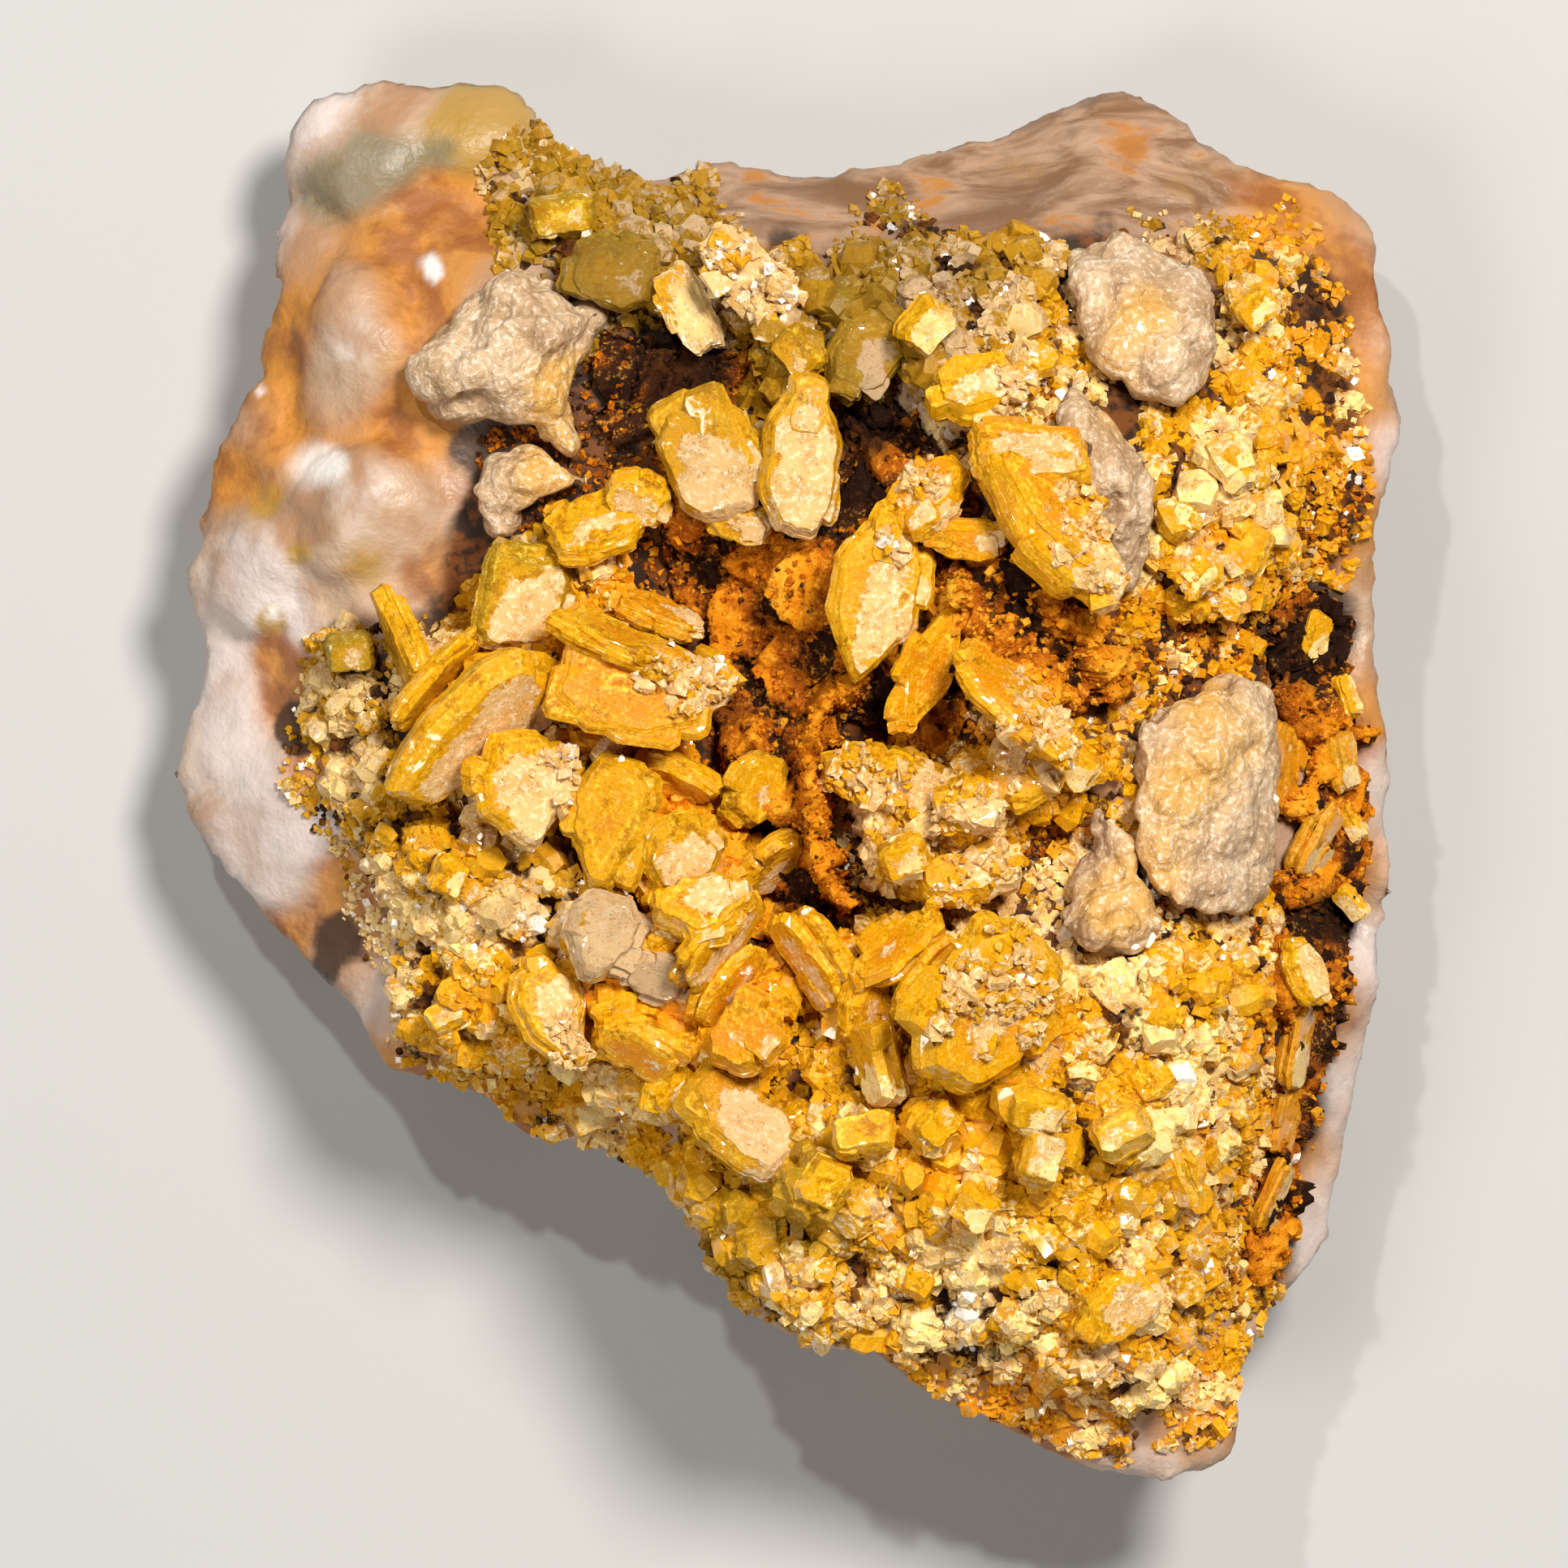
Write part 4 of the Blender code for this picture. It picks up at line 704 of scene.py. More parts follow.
# %% [markdown]
# ## Limonite crusts
# Limonite is full of holes, and its thin walls stand where cracks once were. The skin is eaten away
# by ridged noise, crumbs are scattered over it and over the rock beside it, and the walls are upright
# ribbons with ragged tops.

# %% Places on a mesh, and on the bare rock
def spread_over(points, faces, per_area, rng, least_up):
    """Random places on the faces of a mesh that face up at least so much, with their normals."""
    a, b, c = (points[faces[:, k]] for k in range(3))
    across = np.cross(b - a, c - a)
    area = np.linalg.norm(across, axis=1) / 2
    across /= np.maximum(2 * area[:, None], 1e-12)
    usable = area * (across[:, 2] > least_up)
    chosen = rng.choice(len(faces), int(usable.sum() * per_area), p=usable / usable.sum())
    u, v = rng.random((2, len(chosen), 1))
    u, v = np.where(u + v > 1, 1 - u, u), np.where(u + v > 1, 1 - v, v)
    return a[chosen] + u * (b - a)[chosen] + v * (c - a)[chosen], across[chosen]


def tree_of(points, faces):
    return BVHTree.FromPolygons(points.tolist(), faces.tolist())


DOWN = Vector((0, 0, -1))
patch_names = kinds["druse"] + kinds["limonite"] + kinds["calcite"]
patch_tree = tree_of(*joined([solids[name] for name in patch_names]))


def bare_rock(places, facing, names, reach):
    """The places with no crust above them and one of the named crusts within reach, and which it is."""
    open_air = np.array([patch_tree.ray_cast(Vector(p), -DOWN)[0] is None for p in places.tolist()])
    places, facing = places[open_air], facing[open_air]
    distance = np.stack([np.linalg.norm(places[:, None, :2] - solids[n][0][None, :, :2], axis=2).min(axis=1)
                         for n in names])
    near = distance.min(axis=0) < reach
    return places[near], facing[near], distance.argmin(axis=0)[near]


# %% Marks and walls of the limonite
LIMONITE_WARM = [
    (-2.6, 6.6, 3, 0.6), (1, 8, 2.6, 0.3), (0.6, 0, 2.4, 0.9), (4.2, 2.6, 2.6, 0.4), (8.6, 5.6, 4.2, 1.8),
    (19.6, 0, 3.4, 0.9), (19, -11, 3.6, 1), (18, -16, 3, 1), (20.6, -3, 2, 0.6), (-1.6, 13.4, 1.5, 0.9),
    (20, 8, 1.6, 0.8),
]
# dark spots: partly dense limonite, partly painted shade of caves
LIMONITE_DARK = [
    (-3.6, 15, 2.4, 0.9), (3, 13.4, 1.9, 0.8), (19.4, 5, 2.2, 0.6), (20.2, -5, 1.4, 0.7), (8, 5, 1.2, 0.3),
    (5, 3, 1.5, 0.5), (-1.8, 3, 1.6, 0.4),
]


def limonite_marks(points, height=0.0):
    # On the skin, height is its relief: darker in pits and warmer where it stands up, painted shade and
    # light; on crumbs it is a random tone.
    return {"warm": np.clip(spots_at(points, LIMONITE_WARM) * 0.6 + height, -0.6, 1.2),
            "dark": spots_at(points, LIMONITE_DARK) + np.clip(-1.3 * height - 0.05, 0, 0.8)}


def wall(line, top, bottom, thickness, seed):
    """A thin upright sheet along a line of (x, y, z) points, with a ragged top."""
    line = np.array(line, float)
    along = np.linspace(0, len(line) - 1, 22 * (len(line) - 1) + 1)
    path = np.stack([np.interp(along, np.arange(len(line)), line[:, k]) for k in range(3)], axis=1)
    for size, far in ((1.6, 0.35), (0.5, 0.14)):
        path[:, :2] += far * np.stack([noise_at(path, size, seed), noise_at(path, size, seed + 1)], axis=1)
    ahead = np.gradient(path[:, :2], axis=0)
    side = np.stack([-ahead[:, 1], ahead[:, 0]], axis=1) / np.linalg.norm(ahead, axis=1, keepdims=True)
    ends = np.minimum(along, along[::-1]).clip(0, 1)
    crest = top * (0.35 + 0.65 * ends) + 0.34 * top * layered_noise(path, 0.9, 4, seed + 2)
    loops = []
    for across, share in ((2.6, 0.0), (1.3, 0.6), (0.7, 1.0), (-0.7, 1.0), (-1.3, 0.6), (-2.6, 0.0)):
        high = path[:, 2] - bottom + (crest + bottom) * share
        wander = 0.22 * layered_noise(np.column_stack([path[:, :2], high]), 0.5, 2, seed + 3)
        wide = across * thickness * (1 + 0.6 * noise_at(path, 0.7, seed + 4))
        loops.append(np.column_stack([path[:, :2] + side * (wide + wander)[:, None], high]))
    points = np.stack(loops, axis=1)
    count, width = points.shape[:2]
    faces = []
    for i in range(count - 1):
        for k in range(width):
            n = (k + 1) % width
            a, b, c, d = i * width + k, i * width + n, (i + 1) * width + n, (i + 1) * width + k
            faces += [(a, b, c), (a, c, d)]
    last = (count - 1) * width
    for k in range(1, width - 1):
        faces += [(0, k + 1, k), (last, last + k, last + k + 1)]
    return points.reshape(-1, 3), np.array(faces)


print("a wall of four corners has", len(wall([(k, 0, 0) for k in range(4)], 1, 1, 0.2, 1)[1]), "triangles")

# %% Grow the limonite
# for each crust with walls, each wall's line of (x, y), height above the crust and thickness
WALLS = {"limonite_centre_hollow": [
    ([(2.8, 4), (1.8, 3.2), (1, 2), (0.7, 0.9), (0.8, -0.4), (1, -1.9), (1.5, -3.2), (2.2, -4.5)],
     1.7, 0.24),
]}
WALL_ROOT = 1.2
LIMONITE_NET = 0.21
CRUMB_CORNERS = len(grain_template[0])


def crumb(places, facing, largest, rng):
    """Loose grains at the places, up to the largest size and lying any way."""
    size = rng.uniform(0.10, largest, (len(places), 1)) * rng.uniform(0.5, 1.2, (len(places), 3))
    return crystals_at(places, turned_to(facing, 0.9, rng), size, grain_template, 0.16, rng)


ROCK_CRUMBS_PER_MM2, ROCK_CRUMB_REACH = 14.0, 5.0
rng = np.random.default_rng(71)
rock_spots = spread_over(rock_points, rock_faces, ROCK_CRUMBS_PER_MM2, rng, 0.1)
deep = spots_at(rock_spots[0], STAINS_AND_PAINTED_LIGHT["hollow"]) > 0.5 + 0.2 * rng.random(len(rock_spots[0]))
rock_spots = bare_rock(rock_spots[0][deep], rock_spots[1][deep], kinds["limonite"], ROCK_CRUMB_REACH)
print(len(rock_spots[0]), "crumbs on the rock between the crusts")
for index, node in enumerate(kinds["limonite"]):
    powdery = node == "limonite_sponge"
    points, faces = skin_of(node, LIMONITE_NET, 4)
    out = normals_of(points, faces)
    ridged = 1 - 2 * np.abs(layered_noise(points, 1.3, 3, seed=4))
    hole = cells_at(points, 0.8, seed=9)[0]
    edge, step, slab = cells_at(points * (1, 1, 0.5), 2.3, seed=19)
    relief = (0.40 if powdery else 0.22) * (ridged - 0.45) + 1.2 * slab + 0.45 * step + 0.5 * (0.5 - edge)
    relief = relief - 0.35 * (hole < 0.30) + 0.10 * noise_at(points, 0.35, 12)
    points = points + out * relief[:, None]
    ground_meshes[node] = (points, faces)
    places, facing = spread_over(points, faces, 8.0 if powdery else 4.0, rng, 0.0)
    mine = rock_spots[2] == index
    places = np.concatenate([places, rock_spots[0][mine]])
    facing = np.concatenate([facing, rock_spots[1][mine]])
    crumbs = crumb(places, facing, 0.36, rng)
    height = np.repeat(rng.normal(0.36, 0.26, len(places)), CRUMB_CORNERS)
    parts = [(points, faces, limonite_marks(points, 0.7 * relief + 0.1)),
             (*crumbs, limonite_marks(crumbs[0], height))]
    tree = tree_of(points, faces)
    for k, (line, high, thick) in enumerate(WALLS.get(node, ())):
        feet = [tree.find_nearest(Vector((x, y, points[:, 2].max())))[0].z for x, y in line]
        sheet = wall([(*spot, foot) for spot, foot in zip(line, feet)], high, WALL_ROOT, thick, 60 + 5 * k)
        parts.append((*sheet, {"warm": 0.90 + 0.20 * noise_at(sheet[0], 0.8, 3), "dark": 0.0}))
        places, facing = spread_over(*sheet, 6.0, rng, -0.5)
        flakes = crumb(places, facing, 0.24, rng)
        warm = np.repeat(rng.normal(0.7, 0.25, len(places)), CRUMB_CORNERS)
        parts.append((*flakes, {"warm": warm, "dark": 0.0}))
    make_piece(node + "_crumbs", node, "limonite", parts, [True, False] * (len(parts) // 2))
print("limonite", sum(made_pieces[n + "_crumbs"] for n in kinds["limonite"]), "triangles")


# %% [markdown]
# ## Tablets
# A wulfenite tablet is a square plate whose corners are cut by a second square, so its outline has
# eight edges. It grew in thin layers, so the rim between its two flat faces is striated, and it slopes
# from each face to a girdle half way down. Rings of points from the middle of one face over the rim to
# the middle of the other make such a plate as one closed mesh. Each point remembers how far inside a
# face it is, for the frost. Smaller plates grow parallel to a large one and step out of its outline. A
# tablet lies at the place and tilt of its solid: its height is found by looking down on the tablet
# and on the solid, and comparing.

# %% The tablets
# node, x, y, length, breadth, thickness, heading, pitch, tilt, then frost, warmth, dullness, layers
# and, where it isn't even, the outline
TABLETS = [
    ("tablet_great_west", -11.6, 2.1, 8, 4.4, 1.5, 45, 4, 50, 0.75, 0.46, 0, 1),
    ("tablet_west_face", -9.7, -0.1, 4.9, 4.1, 1.2, 100, 0, 24, 0.95, 0.55, 0, 1, "kite"),
    ("blade_west_upright", -13.9, 5.1, 4.6, 3, 1, -69, -6, 80, 0, 0.46, 0, 1),
    ("blade_behind_great_west", -12.9, 3.8, 5, 3, 0.7, 48, 0, 74, 0, 0.5, 0, 1),
    ("crossed_tablets", -5.6, 3.5, 6.2, 4.4, 1, -14, 3, -22, 0, 0.72, 0, 1),
    ("crossed_tablets", -5.6, 4.9, 6.4, 3, 1, -23, 0, -70, 0.3, 0.55, 0, 3),
    ("crossed_tablets", -3, 3.6, 2.6, 2.2, 1.7, 20, 0, 15, 0.95, 0.6, 0, 1),
    ("blade_north_of_cross", -4.6, 6.2, 3.6, 2.2, 0.7, -22, 0, -66, 0.25, 0.75, 0, 2),
    ("tablet_olive_west", -9.7, 6.8, 4.6, 4, 1.1, 80, 6, 12, 0.85, 0.2, 0.1, 1, "square"),
    ("tablet_arch", -6.9, 9.3, 4.2, 2.6, 1.2, 22, 0, -32, 0.35, 0.45, 0, 1),
    ("tablet_arch", -5.4, 10.6, 2.8, 2.2, 1.2, -28, 0, 30, 0.8, 0.55, 0, 1),
    ("tablet_bowl_large", -6.3, -1.3, 5.2, 3.7, 1.2, 82, 0, -16, 0.2, 0.42, 0.12, 1, "kite"),
    ("blade_bowl_bridge", -3.8, 0.3, 3.4, 2.4, 0.9, -25, 0, 64, 0, 0.6, 0, 1),
    ("tablet_bowl_round", -1.1, -0.2, 3.1, 2.8, 1.1, 60, 0, 34, 0.1, 0.42, 0.15, 1),
    ("tablet_bowl_pale", -3.8, -2.5, 3.3, 3.1, 1.3, 30, 0, 18, 0.8, 0.48, 0.1, 1),
    ("blade_bowl_east", -0.5, -2.9, 3.4, 2.4, 1, 40, 0, 58, 0.2, 0.52, 0, 1),
    ("tablet_bowl_south", -3, -4.6, 3.8, 3.2, 1.6, 14, 0, -26, 0.8, 0.62, 0, 1, "kite"),
    ("twin_blades", -2.5, -5.9, 4.8, 3, 0.9, 53, 0, 62, 0.3, 0.5, 0, 3),
    ("twin_blades", -2.2, -7.4, 3.9, 2.8, 1, 52, 0, 58, 0.15, 0.62, 0, 2),
    ("tablet_silver_face", -6.7, -5.5, 3.6, 3.1, 1.3, 75, 0, 12, 1.25, 0.55, 0.65, 1, "kite"),
    ("tablet_small_silver", -4.7, -7, 2.7, 2.1, 1.1, -15, 0, 24, 1.1, 0.75, 0.75, 1),
    ("tablet_shelf_edge", -8.6, -8.4, 4.2, 3.1, 1.3, 115, 0, 18, 0.65, 0.52, 0, 1, "kite"),
    ("tablet_south_long", -5.2, -9.6, 4.2, 2.7, 1.3, -28, 0, 42, 0.15, 0.62, 0, 1),
    ("tablet_white_window", -1.4, -9.3, 3.3, 2.9, 1.7, 60, 0, -18, 0.34, 0.75, 0, 1),
    ("tablet_brown_face", -1.7, -12.5, 5.3, 3.7, 1.4, -45, 0, -34, 0.85, 0.6, 0.35, 1),
    ("tablet_south_lip", -4.1, -11.2, 2.8, 2.3, 1.2, 62, 0, 26, 0.15, 0.4, 0, 1),
    ("fan_blades", 1.3, -6.4, 4.9, 2.8, 1.2, -56, 0, 62, 0.55, 0.6, 0, 2),
    ("fan_blades", 2.9, -7.7, 3.2, 2.2, 1.1, 74, 0, 56, 0.25, 0.6, 0, 1),
    ("fan_blades", 4.2, -6.1, 3.8, 2.8, 1, 40, 0, -48, 0.1, 0.6, 0, 2),
    ("fan_blades", 5.3, -7.3, 4.3, 2.6, 0.9, 53, 0, 68, 0.1, 0.62, 0, 2),
    ("tablet_great_south", 7.4, -8.1, 7.2, 5.6, 1.8, 57, 0, 28, 0.4, 0.48, 0, 1),
    ("tablet_knobbly", 6.7, -3.5, 3.8, 2.3, 1.5, 10, 0, -24, 0.55, 0.48, 0, 1),
    ("tablet_druse_ridge", 3.6, 0.2, 5, 2.3, 1.5, -12, 0, 18, 0.55, 0.48, 0, 1),
    ("tablet_cream_knob", 6.9, -0.8, 2.9, 2.3, 1.4, 20, 0, 14, 0.85, 0.55, 0, 1),
    ("tablet_middle_knob", 8.9, 0.2, 3.1, 2.4, 1.3, 30, 0, -20, 0.4, 0.58, 0, 1),
    ("open_pair", 8.5, 2.7, 5.6, 3, 0.9, -40, 0, -58, 0.12, 0.7, 0, 1),
    ("open_pair", 8.2, 3.7, 5, 2.8, 0.8, -37, 0, -62, 0.3, 0.6, 0, 1),
    ("blade_centre_upright", 5.3, 4.2, 5, 2.6, 0.8, 68, 0, 36, 0, 0.7, 0, 1, "spear"),
    ("tablet_great_centre", 3.3, 6.9, 6.4, 4, 1, 78, 0, 14, 0.66, 0.5, 0, 1, "kite"),
    ("tablet_hooked", 5.2, 10.5, 3.9, 2.7, 1.3, 42, 0, -30, 0.7, 0.7, 0, 1),
    ("tablet_hooked", 6.7, 9, 3.1, 1.8, 1.3, -6, 0, 20, 0.25, 0.75, 0, 1),
    ("tablet_north_pale", 9, 12, 5.2, 3, 1.4, -5, 0, -42, 0.85, 0.7, 0.1, 1, "square"),
    ("tablet_great_diagonal", 9.9, 9.3, 7.2, 3.6, 1.9, -48, 0, -40, 0.1, 0.62, 0, 1, "spear"),
    ("tablet_north_block", 7.3, 14.5, 4.2, 3, 1.7, 12, 0, -28, 0.75, 0.45, 0, 1),
    ("tablet_beige_east", 0.6, 11.9, 6, 3.3, 1.4, 84, 0, 12, 0.99, 0.5, 0.1, 1),
    ("tablet_beige_west", -2.7, 12, 5.2, 4.1, 1.4, 110, 0, -16, 0.85, 0.42, 0.25, 1),
    ("tablet_beige_west", -1.6, 9.7, 2.8, 1.8, 1, -24, 0, 28, 0.72, 0.42, 0.1, 1),
    ("tablet_dull_north", 3, 15.9, 3.6, 3.1, 1.1, 60, 0, 14, 0.35, 0.25, 0.8, 1),
    ("tablet_olive_north", -6.3, 18.9, 3.8, 3.3, 1.1, -20, 0, 14, 0.45, 0.2, 0.9, 1),
    ("crumbly_bars", -1.2, 18.6, 4.8, 2.1, 1.5, -44, 0, 10, 1.4, 0.5, 0.15, 2),
    ("tablet_corner_beige", 12.3, -19.2, 3.5, 2.8, 1.3, 40, 0, 22, 0.8, 0.55, 0, 1),
    ("tablet_corner_low", 10.8, -21.3, 2.9, 2, 1.1, 12, 0, -18, 0.7, 0.6, 0, 1),
    ("tablet_ledge_upright", 19.2, -7, 2.8, 1.8, 1, 112, 0, 40, 0.5, 0.5, 0, 1),
]
FACE_SHARES = (0.25, 0.50, 0.70, 0.85, 0.95, 1.0)

# %% Larger crystals that belong to the crusts: as above, but set at a lift over the crust
# x, y, lift, length, breadth, thickness, heading, tilt, frost, warmth, dullness, layers
CRUST_TABLETS = {
    "druse_upper_band": [
        (0.6, 15.9, 0.3, 2.4, 1.8, 1, -50, 30, 0.3, 0.3, 0.1, 1),
        (5.2, 16.9, 0.3, 2.6, 2.2, 1.1, 50, 28, 0.85, 0.35, 0, 1),
        (-8.2, 21.1, 0.3, 3, 2, 1.1, 8, 10, 0.3, 0.15, 0.2, 1),
        (-3.6, 17.6, 0.7, 4.4, 1.7, 1.3, -62, 16, 1.3, 0.45, 0.2, 3),
    ],
    "druse_left_shelf": [
        (-16, 4.9, 0.3, 2.2, 1.8, 1.1, 5, 16, 0.3, 0.1, 0.3, 1),
        (-12.4, -8.6, 0.3, 1.9, 1.5, 1, 30, -25, 0.15, 0.55, 0, 1),
        (-12.4, -3.4, 0.3, 1.8, 1.5, 1, 65, 30, 0.2, 0.55, 0, 1),
    ],
    "druse_lower": [
        (9.4, -13.6, 0.3, 2.4, 1.9, 1.4, 75, 15, 0.85, 0.6, 0.1, 1),
        (7, -15.5, 0.3, 2.2, 1.7, 1.3, -35, 25, 0.1, 0.5, 0, 1),
        (2.9, -12.9, 0.3, 2.8, 1.9, 1.4, 8, -20, 0.3, 0.5, 0, 1),
        (5.6, -12.4, 0.3, 1.9, 1.6, 1.2, 40, 20, 0.2, 0.5, 0, 1),
        (9.3, -11.9, 0.3, 2.3, 1.6, 1.2, -15, 30, 0.45, 0.45, 0, 1),
        (1.4, -14.6, 0.3, 2.4, 2.1, 1.4, 60, 15, 0.15, 0.35, 0, 1),
        (12.4, -12.8, 0.3, 2.6, 2, 1.4, 25, -20, 0.45, 0.3, 0, 1),
        (14.6, -14.4, 0.3, 2.6, 1.2, 0.9, -70, 55, 0.5, 0.4, 0, 2),
        (3.5, -10.2, 0.7, 3.8, 2.2, 1.2, -76, 62, 0.7, 0.6, 0, 2),
        (18.8, -9.6, -0.1, 4.4, 1.7, 0.8, 80, 60, 0.1, 0.9, 0.35, 2),
        (18.4, -12.4, -0.1, 3.6, 1.5, 0.8, 70, 55, 0.05, 0.95, 0.35, 2),
        (18, -15.4, -0.1, 3.6, 1.4, 0.7, 66, 60, 0.1, 0.9, 0.35, 2),
        (21, -4.4, 0.1, 1.8, 0.9, 0.7, -50, 30, 0.9, 0.5, 0, 1),
    ],
    "druse_right": [
        (17.4, 17.6, 0.3, 2, 1.6, 1.1, 40, 25, 0.4, 0.5, 0, 1),
        (16.6, 11.6, 0.3, 2.2, 1.5, 1.1, -60, 30, 0.3, 0.5, 0, 1),
        (17.2, 8.6, 0.3, 2.2, 1.6, 1.1, 70, -30, 0.2, 0.65, 0, 1),
        (18.4, 0.6, -0.1, 4, 2.1, 0.8, 84, 50, 0.05, 0.95, 0.35, 2),
        (19.5, -2.2, -0.1, 3.6, 1.7, 0.8, 62, 55, 0.05, 0.9, 0.35, 2),
        (20.6, 0.8, -0.1, 2.6, 1.5, 0.8, 100, 50, 0.1, 0.75, 0.35, 1),
        (19.6, 5.4, 0.1, 2.4, 1.2, 0.8, 75, 40, 0.4, 0.55, 0, 1),
        (20.8, 3.2, 0.1, 2, 1, 0.7, 110, 40, 0.5, 0.55, 0, 1),
        (21, -1.4, 0.1, 1.8, 0.8, 0.7, -60, 30, 0.9, 0.5, 0, 1),
    ],
    "druse_middle": [
        (4.4, -2.6, 0.3, 2.2, 1.7, 1.3, 20, 25, 0.5, 0.45, 0, 1),
        (10.8, 0.6, 0.3, 2, 1.6, 1.2, -40, 30, 0.35, 0.55, 0, 1),
    ],
    "druse_bowl": [
        (-7.1, -12.1, 0.2, 2.2, 1.9, 1.3, 20, 10, 0.95, 0.55, 0, 1),
        (-4.6, -3.9, 0.1, 1.8, 1.5, 1, 70, 20, 0.1, 0.4, 0, 1),
        (-6.2, -8.4, 0.1, 2.2, 1.8, 1, 20, 30, 0.2, 0.6, 0, 1),
    ],
}


# %% Build one plate lying flat
def ring_noise(angle, rng):
    return sum(rng.uniform(-1, 1) * np.cos(n * angle + rng.uniform(0, 6)) for n in (2, 5, 9, 14, 21))


OUTLINES = {  # how far each of the eight edges stands from the middle, from the head of the length round
    "even": (0.90, 0.96, 0.90, 0.96, 0.90, 0.96, 0.90, 0.96),
    "kite": (0.88, 0.92, 0.90, 0.84, 1.04, 0.80, 0.90, 0.96),
    "spear": (1.02, 0.84, 0.90, 0.86, 1.02, 0.82, 0.90, 0.86),
    "square": (0.86, 1.10, 0.88, 1.06, 0.86, 1.12, 0.88, 1.04),
}


def plate_body(length, breadth, thickness, layers, rng, turns, rows, outline):
    """One plate of several thin layers: points, triangles and depth inside a face, negative on the rim."""
    angle = 2 * math.pi * np.arange(turns) / turns
    edge_angle = math.pi / 4 * np.arange(8) + rng.uniform(-0.12, 0.12, 8)
    reach = np.array(OUTLINES[outline]) * rng.uniform(0.94, 1.05, 8)
    facing = np.maximum(np.cos(angle[:, None] - edge_angle), 1e-3) / reach
    edge_far = (facing**60).sum(axis=1) ** (-1 / 60) + 0.012 * ring_noise(angle, rng)
    rim = np.column_stack([edge_far * np.cos(angle) * length / 2, edge_far * np.sin(angle) * breadth / 2])
    far = np.linalg.norm(rim, axis=1)
    half = thickness / 2
    bevel = min(0.38 * thickness, 0.13 * breadth)
    face_far = far - bevel
    rings = [(share * face_far, half, (1 - share) * face_far) for share in rows]
    edges = half * np.linspace(1, -1, layers + 1)
    edges[1:-1] += rng.uniform(-0.25, 0.25, layers - 1) * thickness / layers
    for upper, lower in zip(edges, edges[1:]):
        ledge = rng.uniform(-0.03, 0.06)
        bite = 0.022 * ring_noise(angle, rng)
        for high in (upper - 0.01, lower + 0.01):
            rings.append((far - bevel * (abs(high) / half) ** 1.3 - ledge + bite, high, -1.0))
    rings += [(share * face_far, -half, (1 - share) * face_far) for share in rows[::-1]]
    points = [np.array([[0, 0, half]])]
    inside = [np.array([face_far.min()])]
    for out, high, deep in rings:
        points.append(np.column_stack([rim * (out / far)[:, None], np.full(turns, high)]))
        inside.append(np.broadcast_to(deep, turns))
    points.append(np.array([[0, 0, -half]]))
    inside.append(np.array([face_far.min()]))
    faces = []
    last = 1 + len(rings) * turns
    for k in range(turns):
        n = (k + 1) % turns
        faces += [(0, 1 + k, 1 + n), (last, last - turns + n, last - turns + k)]
        for ring in range(len(rings) - 1):
            a, b = 1 + ring * turns, 1 + (ring + 1) * turns
            faces += [(a + k, b + k, b + n), (a + k, b + n, a + n)]
    points, inside = np.concatenate(points), np.concatenate(inside)
    on_face = inside >= 0
    edge = rim * (face_far / far)[:, None]
    inside[on_face] = np.linalg.norm(points[on_face, None, :2] - edge, axis=2).min(axis=1)
    return points, np.array(faces), inside


print("outlines", sorted(OUTLINES))


# %% Stack plates into a tablet, and turn it
def tablet_body(length, breadth, thickness, plates, seed, outline="even",
                turns=48, rows=FACE_SHARES, layers=6, side_growths=3):
    """A tablet as a stack of plates that have slipped and splayed a little, chipped along the rim, with
    smaller plates grown parallel to it that step out of its outline."""
    rng = np.random.default_rng(seed)
    made = []
    each = thickness / plates
    for k in range(plates):
        shrink = rng.uniform(0.86, 1.0, 2) if plates > 1 else np.ones(2)
        points, faces, inside = plate_body(length * shrink[0], breadth * shrink[1], each * 1.04,
                                           layers if plates == 1 else 2, rng, turns, rows, outline)
        if plates > 1:
            points = points @ turn(rng.uniform(-3, 3), rng.uniform(-2, 2), rng.uniform(-3, 3)).T
            points += (*(rng.uniform(-0.05, 0.05, 2) * length), each * (k - (plates - 1) / 2))
        made.append((points, faces, inside))
    for k in range(side_growths if length > 2.6 else 0):
        share = rng.uniform(0.34, 0.55, 2)
        around = rng.uniform(0, 2 * math.pi)
        points, faces, inside = plate_body(
            length * share[0], breadth * share[1] * 1.1, thickness * rng.uniform(0.5, 0.85),
            2, rng, 20, (0.65, 1.0), "square")
        points = points @ turn(rng.uniform(-12, 12), rng.uniform(-5, 5), rng.uniform(-5, 5)).T
        points += (0.34 * length * math.cos(around), 0.34 * breadth * math.sin(around),
                   thickness * rng.uniform(-0.10, 0.22))
        made.append((points, faces, inside))
    points, faces = joined([plate[:2] for plate in made])
    inside = np.concatenate([plate[2] for plate in made])
    out = normals_of(points, faces)
    own = points + 17.3 * seed
    chips = 0.22 * np.clip(noise_at(own, 0.55, 3) - 0.38, 0, 1) * (inside < 0.15)
    relief = 0.035 * noise_at(own, 1.3, 1) + 0.018 * noise_at(own, 0.4, 2) - chips
    return points + out * relief[:, None], faces, inside


def turn(heading, pitch, tilt):
    """Rotation that tilts a plate about its long axis, then pitches it, then turns it to its heading."""
    about = [(math.radians(tilt), (1, 2)), (math.radians(-pitch), (2, 0)), (math.radians(heading), (0, 1))]
    total = np.eye(3)
    for angle, (first, second) in about:
        step = np.eye(3)
        step[first, first] = step[second, second] = math.cos(angle)
        step[second, first], step[first, second] = math.sin(angle), -math.sin(angle)
        total = step @ total
    return total


print("a tablet of one plate has", len(tablet_body(4, 3, 1, 1, seed=0)[1]), "triangles")


